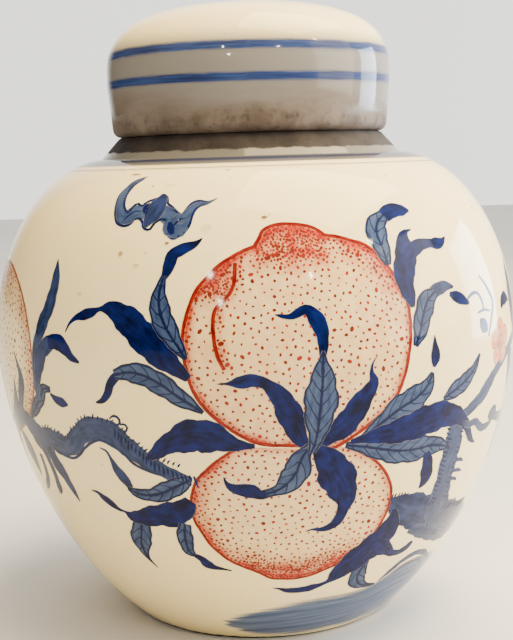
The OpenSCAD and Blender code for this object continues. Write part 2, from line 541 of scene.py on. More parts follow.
def stroke(points, lift, load, veined=0.0, seed=0.0, step=1.1, rows=5, over=0.0):
    """One brushstroke through (degrees round, millimetres up, width), on the jar."""
    line, along = smooth_path(points, step)
    turn, up, width = line[:, 0], line[:, 1], np.maximum(line[:, 2], 0.15)
    scale = wall_radius(up) * DEGREE
    run = np.gradient(np.stack([turn * scale.mean(), up], 1), axis=0)
    run /= np.linalg.norm(run, axis=1)[:, None]
    v = np.linspace(-1, 1, rows)[:, None]
    uneven = 1 + 0.06 * np.sin(along * 0.75 + seed + 2.4 * np.sign(v))
    uneven = uneven + 0.035 * np.sin(along * 1.6 + 2 * seed - np.sign(v))
    half = width / 2 * uneven
    side_turn = turn - v * run[:, 1] * half / scale
    side_up = up + v * run[:, 0] * half
    points3 = on_jar(side_turn, side_up, lift)
    layers = {"along": along, "across": v * half, "edge": (1 - abs(v)) * half,
              "load": load, "veined": veined, "seed": seed, "over": over}
    return film(points3, layers, rows, len(line))


# How loaded the brush is, and whether the stroke is veined.
KINDS = {"dark": (1.0, 0.0), "arm": (1.0, 0.0), "mid": (0.66, 0.0), "blade": (0.5, 0.0), "pale": (0.0, 1.0),
         "line": (0.92, 0.0), "thin": (0.6, 0.0), "grey": (0.38, 0.0), "soft": (0.08, 0.0),
         "rock": (0.58, 0.0)}
strokes_made = 0


def brushed(name, strokes, material, lift=0.05, over=0.8):
    """A piece made of several strokes, each (kind, points), laid one over the other."""
    global strokes_made
    patches = []
    for index, (kind, points) in enumerate(strokes):
        load, veined = KINDS[kind]
        strokes_made += 1
        rise = lift + 0.05 * index / len(strokes)
        patches.append(stroke(points, rise, load, veined, strokes_made * 7.3,
                              over=1.0 if kind == "arm" else over))
    return finished(name, patches, material, "jar")


# %% [markdown]
# Cobalt oxide is ground in water and brushed on the raw clay, then covered by the glaze. Where the
# brush was loaded it fires to a deep navy, and where it was thinned it gives a grey blue wash with
# streaks along the stroke. Outlines and veins were drawn with a finer brush, about half a
# millimetre wide. The edges bleed a little into the glaze, so no edge is sharp.

# %% Cobalt under the glaze
def brush_layers(tree):
    """The values that a film keeps at each of its points."""
    return {name: add(tree, "ShaderNodeAttribute", attribute_name=name, out="Fac")
            for name in ("along", "across", "edge", "load", "veined", "seed", "over")}


def streaks(tree, layer, long_mm, wide_mm, detail=3.0):
    """Noise drawn out along the brushstroke."""
    along = add(tree, "DIVIDE", layer["along"], long_mm)
    across = add(tree, "DIVIDE", layer["across"], wide_mm)
    vector = add(tree, "ShaderNodeCombineXYZ", along, across, layer["seed"])
    return add(tree, "NOISE", vector, 1.0, detail)


def glazed_over(name, pattern, tint=None):
    """A painted finish under the same glaze: pattern gives (colour, share of paint)."""
    material, tree, output, place = new_material(name)
    layer = brush_layers(tree)
    colour, share = pattern(tree, place, layer)
    ground = glaze_colour(tree, place)
    if tint:
        ground = tint(tree, place, ground)
    ground = add(tree, "MIX", layer["over"], ground, "#2E3D5A")
    colour = add(tree, "MIX", share, ground, colour)
    shader = add(tree, "ShaderNodeBsdfPrincipled", {
        "Base Color": colour, "Roughness": glaze_shine(tree, place), "Normal": glaze_bump(tree, place),
        "IOR": GLAZE_IOR, "Specular IOR Level": 0.16})
    tree.links.new(shader, output.inputs[0])
    return material


def cobalt(tree, place, layer):
    """Loaded and thinned cobalt, with outline, midrib and side veins where the leaf is veined."""
    streak = add(tree, "STEP", streaks(tree, layer, 6.0, 1.4), 0.3, 0.72)
    pool = add(tree, "STEP", add(tree, "NOISE", place, per_metre(4.5), 3.0), 0.35, 0.7)
    deep = add(tree, "MIX", add(tree, "MULTIPLY", add(tree, "ADD", streak, pool), 0.5), "#010523",
               "#0A1B5E")
    thin = add(tree, "MIX", streak, "#28375A", "#3E4F72")
    thin = add(tree, "MIX", add(tree, "MULTIPLY", pool, 0.35), thin, "#556480")
    colour = add(tree, "MIX", layer["load"], thin, deep)
    wobble = add(tree, "MULTIPLY", add(tree, "SUBTRACT", add(tree, "NOISE", place, per_metre(1.8), 2.0),
                                       0.5), 0.7)
    away = add(tree, "ABSOLUTE", layer["across"])
    rib = add(tree, "STEP", add(tree, "ADD", away, wobble), 0.62, 0.25)
    bend = add(tree, "MULTIPLY", add(tree, "POWER", away, 1.35), 0.85)
    slant = add(tree, "ADD", add(tree, "SUBTRACT", layer["along"], bend), wobble)
    beat = add(tree, "ABSOLUTE", add(tree, "SUBTRACT",
                                         add(tree, "FRACT", add(tree, "DIVIDE", slant, 4.3)), 0.5))
    vein = add(tree, "STEP", beat, 0.10, 0.035)
    outline = add(tree, "STEP", add(tree, "ADD", layer["edge"], wobble), 0.95, 0.5)
    drawn = add(tree, "MAXIMUM", add(tree, "MAXIMUM", rib, vein), outline)
    drawn = add(tree, "MULTIPLY", drawn, layer["veined"])
    colour = add(tree, "MIX", add(tree, "MULTIPLY", drawn, 0.92), colour, "#071036")
    bleed = add(tree, "STEP", add(tree, "ADD", layer["edge"], add(tree, "MULTIPLY", wobble, 0.3)), -0.02,
                0.16)
    return colour, bleed


cobalt_painting = glazed_over("cobalt_underglaze", cobalt)


def cobalt_band(tree, place, layer):
    """A ring drawn on the turning wheel: a dense core with paler, streaked edges."""
    streak = add(tree, "STEP", streaks(tree, layer, 26.0, 0.8), 0.25, 0.75)
    colour = add(tree, "MIX", streak, "#081C50", "#2A457C")
    reach = add(tree, "MULTIPLY", add(tree, "SUBTRACT", streaks(tree, layer, 12.0, 0.7), 0.5), 1.3)
    core = add(tree, "STEP", add(tree, "ADD", layer["edge"], reach), 0.5, 1.3)
    haze = add(tree, "STEP", layer["edge"], 0.0, 0.9)
    share = add(tree, "ADD", add(tree, "MULTIPLY", core, 0.62), add(tree, "MULTIPLY", haze, 0.36))
    return colour, add(tree, "MULTIPLY", share, layer["load"])


def slate_band(tree, place, layer):
    """The ring round the neck, in a greyer mix than the lid's, with soft edges."""
    streak = add(tree, "STEP", streaks(tree, layer, 26.0, 0.8), 0.25, 0.75)
    colour = add(tree, "MIX", streak, "#06143A", "#182C56")
    share = add(tree, "STEP", layer["edge"], 0.0, 1.0)
    return colour, add(tree, "MULTIPLY", share, layer["load"])


cobalt_ring = glazed_over("cobalt_wheel_band", cobalt_band, lid_tint)
slate_ring = glazed_over("slate_blue_neck_band", slate_band, jar_tint)


def cobalt_ground(tree, place, layer):
    """Broad thin washes of ground and rock, with long streaks and a soft edge."""
    streak = add(tree, "STEP", streaks(tree, layer, 30.0, 2.2, 4.0), 0.3, 0.7)
    colour = add(tree, "MIX", streak, "#3F4F70", "#66748F")
    fine = add(tree, "STEP", streaks(tree, layer, 9.0, 0.7), 0.45, 0.7)
    colour = add(tree, "MIX", add(tree, "MULTIPLY", fine, 0.3), colour, "#2C3B5E")
    ragged = add(tree, "MULTIPLY", add(tree, "SUBTRACT", streaks(tree, layer, 22.0, 1.4, 4.0), 0.5), 9.0)
    share = add(tree, "STEP", add(tree, "ADD", layer["edge"], ragged), 0.0, 4.0)
    return colour, add(tree, "MULTIPLY", share, layer["load"])


cobalt_wash = glazed_over("thinned_cobalt_wash", cobalt_ground)
print("cobalt finishes", cobalt_painting.name, cobalt_ring.name, cobalt_wash.name)

# %% [markdown]
# The peaches are drawn in iron red: a wavering outline about a millimetre wide, a thin blush whose
# thin parts turn tan as painted shade, and hundreds of dots set by the tip of the brush. Iron red is
# opaque and a little uneven.

# %% Iron red
def iron_line(tree, place, layer):
    """A drawn line of iron red, dense in the middle and dry at its edges."""
    streak = add(tree, "STEP", streaks(tree, layer, 4.0, 0.5), 0.3, 0.7)
    colour = add(tree, "MIX", streak, "#5E0C05", "#932111")
    grit = add(tree, "MULTIPLY", add(tree, "SUBTRACT", add(tree, "NOISE", place, per_metre(0.9), 2.0), 0.5),
               0.5)
    share = add(tree, "STEP", add(tree, "ADD", layer["edge"], grit), -0.15, 0.1)
    return colour, add(tree, "MULTIPLY", share, layer["load"])


def iron_blush_and_painted_shade(tree, place, layer):
    """A thin blush of iron red that thins out towards the middle of the fruit. Where its load is low it is
    tan, painted shade of the glaze inside the fruit.
    """
    patchy = add(tree, "STEP", add(tree, "NOISE", place, per_metre(5), 4.0, 0.6), 0.3, 0.72)
    # A low load gives a tan that is painted shade; a high load gives the red blush.
    colour = add(tree, "MIX", layer["load"], "#B2764E", add(tree, "MIX", patchy, "#A6241A", "#C24C34"))
    uneven = add(tree, "ADD", add(tree, "MULTIPLY", patchy, 0.45), 0.7)
    return colour, add(tree, "MULTIPLY", layer["load"], uneven, use_clamp=True)


def iron_dot(tree, place, layer):
    """A dot of iron red, some denser than others."""
    return add(tree, "MIX", layer["load"], "#94120C", "#5E0705"), 0.98


iron_drawn = glazed_over("iron_red_line", iron_line)
iron_blush_and_shade_finish = glazed_over("iron_red_blush_and_painted_shade", iron_blush_and_painted_shade)
iron_dots = glazed_over("iron_red_dots", iron_dot)
print("iron finishes", iron_drawn.name, iron_blush_and_shade_finish.name, iron_dots.name)

# %% [markdown]
# A peach is three pieces: the blush inside the outline, which also lays tan painted shade over the
# fruit, the dots, and the drawn outline on top. The blush is a grid wrapped round the middle of the
# fruit. The dots are one small disc, copied, and kept a spacing apart that shrinks where the painter
# worked more densely.

# %% Peach helpers
# The blush and its painted shade lie under all other paint, on a grid fine enough to follow the wall's
# curve.
BLUSH_ROWS = 33
BLUSH_LIFT = 0.02
DOT_LIFT = 0.036
RED_LIFT = 0.048


def closed_line(points, step=1.5):
    """A smooth closed outline through (degrees, millimetres up)."""
    ring = [(turn, up, 1.0) for turn, up in points]
    line = smooth_path(ring[-3:] + ring + ring[:3], step)[0]
    scale = wall_radius(line[:, 1].mean()) * DEGREE
    away = np.hypot((line[:, 0] - points[0][0]) * scale, line[:, 1] - points[0][1])
    third = len(line) // 3
    start = np.argmin(away[:third])
    end = len(line) - third + np.argmin(away[len(line) - third:])
    loop = line[start:end + 1, :2].copy()
    loop[-1] = loop[0]
    return loop


def inside_line(loop, turn, up):
    """Whether places lie inside a closed outline."""
    within = np.zeros(np.shape(turn), bool)
    for (t0, u0), (t1, u1) in zip(loop[:-1], loop[1:]):
        crosses = (u0 > up) != (u1 > up)
        reach = t0 + (up - u0) * (t1 - t0) / (u1 - u0 if u1 != u0 else 1e-9)
        within ^= crosses & (turn < reach)
    return within


def edge_distance(loop, turn, up):
    """Distance in millimetres from places to a closed outline."""
    scale = wall_radius(loop[:, 1].mean()) * DEGREE
    line = loop * [scale, 1]
    spots = np.stack([np.ravel(turn) * scale, np.ravel(up)], 1)
    gaps = [np.min(np.hypot(*(line - spot).T)) for spot in spots]
    return np.array(gaps).reshape(np.shape(turn))


def blush(name, outline, middle, strength):
    """The thin colour of a fruit, red blush and tan painted shade, as strong as strength(turn, up, edge
    distance) says.
    """
    loop = closed_line(outline)
    share = np.linspace(0, 1, BLUSH_ROWS)[:, None]
    turn = loop[:, 0] + (middle[0] - loop[:, 0]) * share
    up = loop[:, 1] + (middle[1] - loop[:, 1]) * share
    load = strength(turn, up, edge_distance(loop, turn, up))
    places = on_jar(turn[::-1, ::-1], up[::-1, ::-1], BLUSH_LIFT)
    patch = film(places, {"load": load[::-1, ::-1]}, BLUSH_ROWS, len(loop))
    bpy.ops.object.mode_set(mode="EDIT")
    bpy.ops.mesh.select_all(action="SELECT")
    bpy.ops.mesh.remove_doubles(threshold=0.00002)
    bpy.ops.object.mode_set(mode="OBJECT")
    face = patch.data.polygons[len(patch.data.polygons) // 2]
    if np.dot(face.normal[:2], face.center[:2]) < 0:
        patch.data.flip_normals()
    return finished(name, [patch], iron_blush_and_shade_finish, "jar")


def dots(name, outline, spacing, seed, tries=20000, sizes=(0.3, 0.54)):
    """Brush-tip dots inside an outline, kept spacing(turn, up, edge distance) apart."""
    rng = np.random.default_rng(seed)
    loop = closed_line(outline)
    scale = wall_radius(loop[:, 1].mean()) * DEGREE
    turn = rng.uniform(loop[:, 0].min(), loop[:, 0].max(), tries)
    up = rng.uniform(loop[:, 1].min(), loop[:, 1].max(), tries)
    keep = inside_line(loop, turn, up)
    turn, up = turn[keep], up[keep]
    edge = edge_distance(loop, turn, up)
    keep = edge > 0.9
    turn, up, edge = turn[keep], up[keep], edge[keep]
    gap = spacing(turn, up, edge)
    taken = np.empty((0, 2))
    chosen = []
    for index, spot in enumerate(np.stack([turn * scale, up], 1)):
        if len(taken) == 0 or np.min(np.hypot(*(taken - spot).T)) > gap[index]:
            taken = np.vstack([taken, spot])
            chosen.append(index)
    deselect_all()
    bpy.ops.mesh.primitive_circle_add(vertices=7, radius=1, fill_type="NGON")
    disc = bpy.context.object
    bpy.ops.object.mode_set(mode="EDIT")
    bpy.ops.mesh.select_all(action="SELECT")
    bpy.ops.mesh.extrude_region_move(TRANSFORM_OT_translate={"value": (0, 0, 1)})
    bpy.ops.mesh.select_all(action="SELECT")
    bpy.ops.mesh.normals_make_consistent(inside=False)
    bpy.ops.object.mode_set(mode="OBJECT")
    corners = np.array([v.co for v in disc.data.vertices])
    faces = [list(face.vertices) for face in disc.data.polygons]
    count = len(corners)
    all_points, all_faces, loads = [], [], []
    for number, index in enumerate(chosen):
        size = rng.uniform(*sizes) * (1.45 if rng.uniform() > 0.93 else 1.0)
        spin = rng.uniform(0, math.pi)
        long, wide = size * rng.uniform(1.0, 1.35), size * rng.uniform(0.8, 1.0)
        x = corners[:, 0] * long
        y = corners[:, 1] * wide
        x, y = x * math.cos(spin) - y * math.sin(spin), x * math.sin(spin) + y * math.cos(spin)
        lift = np.where(corners[:, 2] > 0.5, DOT_LIFT, -0.15)
        all_points.append(on_jar(turn[index] + x / scale, up[index] + y, lift) * MM)
        all_faces += [[corner + number * count for corner in face] for face in faces]
        loads += [rng.uniform(0, 1)] * count
    mesh = bpy.data.meshes.new(name)
    mesh.from_pydata(np.vstack(all_points).tolist(), [], all_faces)
    mesh.attributes.new("load", "FLOAT", "POINT").data.foreach_set("value", np.array(loads, np.float32))
    disc.data = mesh
    print(name, len(chosen), "dots")
    return finished(name, [disc], iron_dots, "jar", thickness=0)


def red_lines(name, lines, width, load=1.0, lift=RED_LIFT):
    """Drawn lines of iron red through (degrees, millimetres up) or (degrees, up, width)."""
    patches = []
    for index, points in enumerate(lines):
        full = [(p[0], p[1], p[2] if len(p) > 2 else width) for p in points]
        patches.append(stroke(full, lift + 0.002 * index, load, 0.0, 3.1 * index + 1, rows=5))
    return finished(name, patches, iron_drawn, "jar")


def soft(value, low, high):
    """0 below low, 1 above high, and a soft step between, on numbers."""
    t = np.clip((value - low) / (high - low), 0, 1)
    return t * t * (3 - 2 * t)


# %% [markdown]
# The large peach fills the front. Its tip is a lobe at the top, and its cleft runs down inside the
# left edge. The dots are dense on the lobe, along the upper left and inside the right edge.

# %% The large peach
BIG_PEACH = [(1.3, 155), (2, 157), (4, 158.3), (7, 158.7), (10, 158.2), (12.5, 157), (14, 155), (17, 154),
             (20, 152.5), (22.5, 151), (25, 147.5), (27, 143), (28.5, 138), (29.7, 133), (30, 128),
             (29.8, 122), (29.2, 116), (28.3, 110), (27, 105), (25.5, 101.5), (23, 98), (20, 94.5),
             (17, 91.5), (14.5, 89.5), (11, 89.6), (8, 90.6), (5, 91.2), (2, 91.5), (-1, 92.8), (-3.5, 95),
             (-6, 98), (-8.5, 101.5), (-10.5, 105.5), (-12, 110.5), (-12.8, 116), (-13.3, 122),
             (-13.2, 127), (-12.3, 133), (-11, 138.5), (-9, 142.5), (-6.5, 146.5), (-4, 149), (-1.5, 151),
             (0.5, 152.5)]
CLEFT = [(-3.6, 147), (-3.7, 143), (-4.2, 139), (-5.5, 136), (-7.3, 133), (-7.7, 129), (-7.6, 125),
         (-7.2, 121), (-6.5, 117.5), (-5.8, 115.3)]


def big_dense(turn, up, edge):
    """How densely the large peach is worked, 0 to 1."""
    top = soft(up, 140, 150) * soft(turn, -3, 2) * (1 - soft(turn, 13, 18))
    left = (1 - soft(turn, -5.0, -2.8)) * soft(up, 132, 139)
    right = (1 - soft(edge, 3.0, 10)) * soft(turn, 13, 18) * soft(up, 124, 140) * 0.75
    rim = (1 - soft(edge, 1.5, 4)) * 0.35
    crease = np.interp(up, [p[1] for p in CLEFT[::-1]], [p[0] for p in CLEFT[::-1]])
    fold = soft(turn - crease, -0.6, 0.2) * (1 - soft(turn - crease, 0.8, 2.6)) * soft(up, 112, 118) * 0.75
    flank = (1 - soft(edge, 1.0, 4.5)) * (1 - soft(turn, 0, 8)) * 0.55
    return np.clip(np.maximum.reduce([top, left, right, rim, fold, flank]), 0, 1)


def big_blush_and_shade(turn, up, edge):
    """Strength of the blush on the large peach; its base share spreads tan painted shade over the whole
    fruit.
    """
    dense = big_dense(turn, up, edge)
    return 0.44 + 0.5 * dense ** 1.1 + 0.45 * (1 - soft(edge, 0.3, 2.6)) * (0.4 + dense)


def big_spacing(turn, up, edge):
    """Spacing of its dots in millimetres."""
    return 2.05 - 1.3 * big_dense(turn, up, edge)


# This film paints red blush and tan painted shade over the whole peach.
blush("large_peach_blush_and_shade", BIG_PEACH, (8, 122), big_blush_and_shade)
dots("large_peach_dots", BIG_PEACH, big_spacing, 11)
red_lines("large_peach_outline", [
    BIG_PEACH[6:] + [BIG_PEACH[0]],
    [(0.2, 152), (1.2, 154.5), (2, 157), (4, 158.5), (7, 159), (10, 158.4), (12.5, 157.2), (14.2, 155.2)],
], 1.25)
red_lines("large_peach_cleft", [CLEFT], 1.3, 1.0)

# %% [markdown]
# The lower peach hangs below it, and is worked with short dense dots along its lower edge.

# %% The lower peach
LOW_PEACH = [(-3.5, 91), (-5, 89.8), (-8, 86.5), (-10.5, 83), (-12.3, 80), (-13.5, 76), (-14.2, 72),
             (-14.4, 68), (-14, 64), (-13, 60), (-11.5, 55), (-9.5, 51), (-7, 47.5), (-4, 45), (-1.5, 43),
             (0, 41.5), (2, 39.7), (5, 39), (8, 38.8), (12, 39.8), (15, 41.5), (18, 43.5), (20.5, 46.5),
             (23.5, 49.5), (26, 54), (27.5, 59), (28.3, 64), (28.4, 68), (28, 72), (27, 75.5), (25.5, 79),
             (23.5, 82.5), (21, 85.5), (18.5, 87.8), (16.5, 89), (12, 89.4), (8, 89.8), (4, 90.3),
             (0, 90.8)][::-1]


def low_dense(turn, up, edge):
    """How densely the lower peach is worked, 0 to 1."""
    bottom = (1 - soft(up, 44, 58)) * (1 - soft(edge, 5, 13))
    left = (1 - soft(edge, 2, 8)) * (1 - soft(turn, -9, -3)) * 0.7
    rim = (1 - soft(edge, 1.5, 4)) * 0.3
    return np.clip(np.maximum.reduce([bottom, left, rim]), 0, 1)


def low_blush_and_shade(turn, up, edge):
    """Strength of the blush on the lower peach; its base share spreads tan painted shade over the whole
    fruit.
    """
    dense = low_dense(turn, up, edge)
    return 0.38 + 0.5 * dense + 0.4 * (1 - soft(edge, 0.3, 2.6)) * (0.4 + dense)


def low_spacing(turn, up, edge):
    """Spacing of its dots in millimetres."""
    return 2.05 - 1.3 * low_dense(turn, up, edge)


# This film paints red blush and tan painted shade over the whole peach.
blush("lower_peach_blush_and_shade", LOW_PEACH, (7, 66), low_blush_and_shade)
dots("lower_peach_dots", LOW_PEACH, low_spacing, 12)
red_lines("lower_peach_outline", [LOW_PEACH[5:]], 1.1)

# %% [markdown]
# Leaves spring from between the two peaches. A dark leaf is one loaded stroke. A veined leaf is a
# thin wash with a drawn outline, a midrib and side veins, and it often ends in a dark curled tip.

# %% Leaves between the peaches
brushed("leaf_up_left", [
    ("dark", [(9.4, 89.2, 2), (8, 92, 4), (6.6, 97, 7), (5.5, 102, 8), (3.8, 107, 6), (1.5, 110.8, 3.8),
              (-1, 112, 3.9), (-3.5, 111.4, 3.8), (-5, 111.2, 1.4), (-7.2, 111.1, .3)]),
], cobalt_painting, lift=0.07)
brushed("leaf_up_right", [
    ("dark", [(9.8, 89.2, 2), (13, 92.6, 5), (16.5, 97, 8), (18.5, 101.5, 7.5), (20.5, 106, 5.5),
              (21.7, 109.5, 3.2), (21.2, 112.5, 1.4), (21.5, 115, .7), (22.3, 116.8, .3)]),
], cobalt_painting, lift=0.07)
brushed("leaf_up_middle", [
    ("dark", [(11.8, 117, 1.6), (12.1, 122, 3.5), (11.8, 126, 4.5), (10.8, 130, 5), (9, 132.3, 3),
              (7.5, 131.2, 2.6), (6, 130.4, 1.8), (4, 131, .8), (3.5, 131.2, .3)]),
    ("pale", [(9.8, 88.4, 2.4), (10.6, 92, 4.6), (10.9, 95.5, 6.8), (11.2, 100, 9.5), (11.5, 105, 10.9),
              (11.7, 109, 9.5), (11.8, 113, 7), (11.9, 117, 3.2), (12, 120, .8)]),
], cobalt_painting, lift=0.085)
brushed("leaf_down_left", [
    ("dark", [(2.2, 75.4, 3.2), (0, 74.5, 3.7), (-2, 75.8, 5), (-4, 76.5, 4.2), (-5.8, 77.3, 3),
              (-6.7, 79, 1.2), (-7.1, 80.8, .4)]),
    ("pale", [(9.8, 91, 2.4), (8.6, 88.4, 5), (7.7, 85.6, 7.4), (7, 82, 9), (5.5, 78.5, 7.5),
              (3.5, 76, 4.5), (1, 74.7, 2.4)]),
], cobalt_painting, lift=0.07)
brushed("leaf_down_right", [
    ("dark", [(10.2, 90.4, 2.4), (11.6, 88.2, 5.5), (13.2, 85, 9), (15, 80, 12), (16.5, 75, 10.5),
              (17.5, 70, 6.5), (17.2, 66, 4), (16.3, 62.5, 3.6), (14.5, 60.2, 2.8), (12.5, 59.7, 1.6),
              (11, 60.1, .9), (9.5, 59.5, .5)]),
], cobalt_painting, lift=0.08)

# %% [markdown]
# On the left, more leaves reach out from behind the large peach, over a hatched branch.

# %% Leaves on the left
brushed("leaf_left_top", [
    ("dark", [(-17.4, 142.5, 2.2), (-16.5, 146.5, 3.8), (-15.8, 150, 4.2), (-13.5, 152, 3.4),
              (-11.5, 153.2, 2.2), (-10.2, 155, .4)]),
    ("pale", [(-12.8, 118.4, 1.4), (-13.6, 120.8, 3.4), (-15, 124, 5.6), (-16.5, 128, 7), (-17.8, 133, 7),
              (-18, 138, 4.5), (-17.4, 143.5, 1.6)]),
], cobalt_painting, lift=0.07)
brushed("leaf_left_upper", [
    ("dark", [(-12.4, 112.6, 2.4), (-13.6, 114.4, 4), (-16, 117.5, 7), (-19, 122, 9.5), (-22, 126.5, 9.5),
              (-25.5, 131, 8), (-28.5, 133, 4.5), (-30.5, 132.8, 1.5), (-32.5, 131.5, 3.2),
              (-34.5, 130.6, 3.2), (-36.5, 129.5, 1.8), (-38, 127.5, .9), (-39, 124.8, .4)]),
], cobalt_painting, lift=0.08)
brushed("leaf_left_middle", [
    ("dark", [(-26.3, 113.2, 2.8), (-28, 110.5, 3.2), (-28.8, 107.5, 2.8), (-30, 105, 2.2), (-31, 104, 1.6),
              (-32, 103.6, .5)]),
    ("pale", [(-10, 102.2, 1.2), (-11.6, 104, 3.4), (-14, 106.5, 5.6), (-17, 110, 7), (-20.5, 113, 7),
              (-24, 114, 6), (-27.2, 113, 3)]),
], cobalt_painting, lift=0.07)
brushed("leaf_left_centre", [
    ("dark", [(-.8, 91.3, 1.5), (-4, 91.8, 4), (-8, 94, 9.5), (-12, 94.8, 11), (-15.5, 93, 8.5),
              (-18.5, 90.5, 5.5), (-20.5, 88, 4), (-22.5, 86, 1.5)]),
], cobalt_painting, lift=0.085)
brushed("leaf_left_low_veined", [
    ("mid", [(-27.3, 75, 2.6), (-28.8, 79, 3.8), (-30, 82, 3), (-30.7, 85, 1.2), (-31.5, 87.5, .9),
             (-33, 88.3, .4)]),
    ("pale", [(-14, 79.5, 3.5), (-17, 77, 6.5), (-20, 74.5, 6.5), (-23.5, 73, 4.8), (-26.5, 73.6, 3.4),
              (-28, 75, 1.6)]),
], cobalt_painting, lift=0.07)
brushed("leaf_left_low_dark", [
    ("dark", [(-14.3, 72, 4), (-16, 69, 7.5), (-18.5, 66.5, 9.5), (-22, 65.5, 8.5), (-26, 64, 6.5),
              (-29.5, 64, 3.5), (-30.5, 65.2, 1), (-32, 65.8, 1.5), (-33.5, 67.3, 2.8), (-35.5, 69.5, 2.6),
              (-37, 71.2, 1.2), (-38.5, 71.5, .5)]),
], cobalt_painting, lift=0.08)
brushed("leaf_left_hanging", [
    ("pale", [(-27, 61.5, 6), (-28, 57, 8), (-29, 52.5, 7), (-29, 49, 4), (-28.6, 46, 1.5), (-27.8, 44, .8),
              (-27, 42, .4)]),
], cobalt_painting, lift=0.07)
brushed("leaf_left_hanging_small", [
    ("dark", [(-16, 50.2, 1.6), (-14, 48, 3), (-13, 46, 3.6), (-11.5, 44.8, 2.2), (-9.5, 44.2, 1.2),
              (-7.5, 43.5, .5)]),
    ("pale", [(-16.5, 63, 4), (-17, 59, 5.5), (-17.2, 55, 5.2), (-16.8, 51.5, 4), (-15.8, 49.7, 1.6)]),
], cobalt_painting, lift=0.07)
print("strokes so far", strokes_made)

# %% [markdown]
# On the right the same kinds of leaf rise over the shoulder of the peach and spread to the trunk.

# %% Leaves on the right
brushed("leaf_right_top", [
    ("dark", [(28, 159.2, 4.5), (29.5, 160.5, 4.8), (32, 161.8, 5.2), (34.5, 161.9, 4.5),
              (36.6, 161.4, .9)]),
    ("pale", [(26.8, 144, 2.5), (26.5, 149.5, 6), (26, 154, 7.5), (27.2, 158.3, 6.5), (29, 160.3, 4)]),
], cobalt_painting, lift=0.07)
brushed("leaf_right_upper", [
    ("dark", [(31, 130.4, 1.4), (30.6, 134, 5), (30, 139, 7), (31, 144, 8.5), (32, 149, 7), (32.5, 153, 4),
              (33.5, 154.3, 1.5), (35, 154.8, .4)]),
    ("arm", [(31.5, 145.5, 5), (33.5, 148, 5.5), (36, 149.5, 4), (39, 149.7, 3.2), (41.5, 149.5, 3.8),
              (43, 150, 2.2), (44.3, 151.3, .4)]),
], cobalt_painting, lift=0.07)
brushed("leaf_right_side", [
    ("mid", [(36, 133.6, 4), (38, 135, 4.5), (40, 135.6, 3.5), (42.5, 135, .8)]),
    ("pale", [(30.8, 118.5, 2), (32, 122.5, 5.5), (33, 127, 7), (34.5, 131.5, 7), (37, 134.3, 3.6)]),
], cobalt_painting, lift=0.07)
brushed("bud_teardrop", [
    ("dark", [(35.4, 111, 1), (35.5, 112.5, 3.2), (35.7, 115, 3.8), (35.6, 118, 2.2), (35.6, 121, .3)]),
], cobalt_painting, lift=0.07)
brushed("buds_upper_right", [
    ("dark", [(41, 133, 1.5), (42.5, 132, 3.5), (45, 130.3, 3.5), (46.8, 129, 1)]),
    ("thin", [(46.5, 130.5, .8), (48.5, 131.8, 1.2), (50.4, 131.6, 1), (51.5, 129.5, 1), (52, 126, .6)]),
    ("thin", [(49.5, 125.3, .6), (52, 125.8, 1), (54.5, 125, .6)]),
    ("thin", [(52.5, 137, .5), (55, 132.5, 1.1), (56.5, 127.5, 1.2), (55.2, 123, 1.1), (53.2, 117, .6)]),
    ("pale", [(50.2, 123.2, .8), (50.8, 121.8, 4), (51.8, 120.2, 4.4), (52.8, 118.8, 1)]),
], cobalt_painting, lift=0.07)
brushed("leaf_right_centre_veined", [
    ("pale", [(19.5, 91.6, 1.5), (24, 96, 6), (28, 99.8, 9.4), (31.5, 102.4, 8.8), (34, 105.8, 5.6),
              (35, 109.5, 1.4)]),
    ("pale", [(38.5, 100, 1.5), (41.5, 102, 6), (45, 104.5, 6), (47.5, 107.5, 4), (49.5, 112, 1)]),
], cobalt_painting, lift=0.07)
brushed("leaf_right_low_veined", [
    ("pale", [(16.5, 89.8, 2), (21, 88.2, 5.5), (25, 86.4, 8), (29, 85, 9), (33, 84.6, 8.8), (37, 84.6, 7),
              (40.5, 83.4, 4), (43, 82, .8)]),
    ("arm", [(35.8, 82.5, 2.5), (36.6, 79, 4.6), (37, 76, 5.4), (37.2, 73, 4.8), (36.5, 70.5, 2.6),
              (35.9, 69.3, .6)]),
], cobalt_painting, lift=0.07)
brushed("leaf_right_centre_dark", [
    ("dark", [(17.5, 90.6, 1.5), (21, 91.4, 4), (25, 91.8, 7), (29, 92.4, 9.2), (33, 93.5, 10.5),
              (38, 94.5, 10), (42, 93.5, 7.5), (46, 90.5, 4.5), (48, 87.5, 3.5), (49.5, 84.5, 3),
              (51, 82, 2), (53, 80.3, .5)]),
], cobalt_painting, lift=0.09)
brushed("leaf_lower_right_dark", [
    ("dark", [(30.2, 63, 2), (30.5, 59, 6), (29.5, 54, 9.5), (27.5, 49.8, 11), (25, 46.5, 11),
              (21.5, 42, 9.5), (18.5, 37.8, 5.5), (16.8, 35.4, 2), (15, 34.2, 2), (13, 33.4, 3),
              (9.5, 32.6, 3), (6, 33, 2.2), (3.5, 34.3, .8), (2.3, 34.6, .3)]),
    ("arm", [(27, 49.5, 6), (29.5, 47.5, 7), (32, 45.3, 4.6), (34, 43.3, 3), (36.5, 42.6, 2.4),
             (38.5, 43.5, 3.2),
              (40.2, 46, 1.6)]),
], cobalt_painting, lift=0.092)
brushed("leaf_lower_right_veined", [
    ("pale", [(27, 42.5, 1.4), (26, 40, 4), (25.3, 36.5, 6.6), (25.8, 33, 6.4), (27.5, 30.3, 4.4),
              (30, 29, 2.5), (33, 28.5, .8)]),
], cobalt_painting, lift=0.07)

# %% [markdown]
# The branch and the trunk are grey blue washes with a darker, hatched side. The hatching is a row of
# short strokes, made by one helper that walks along the branch.

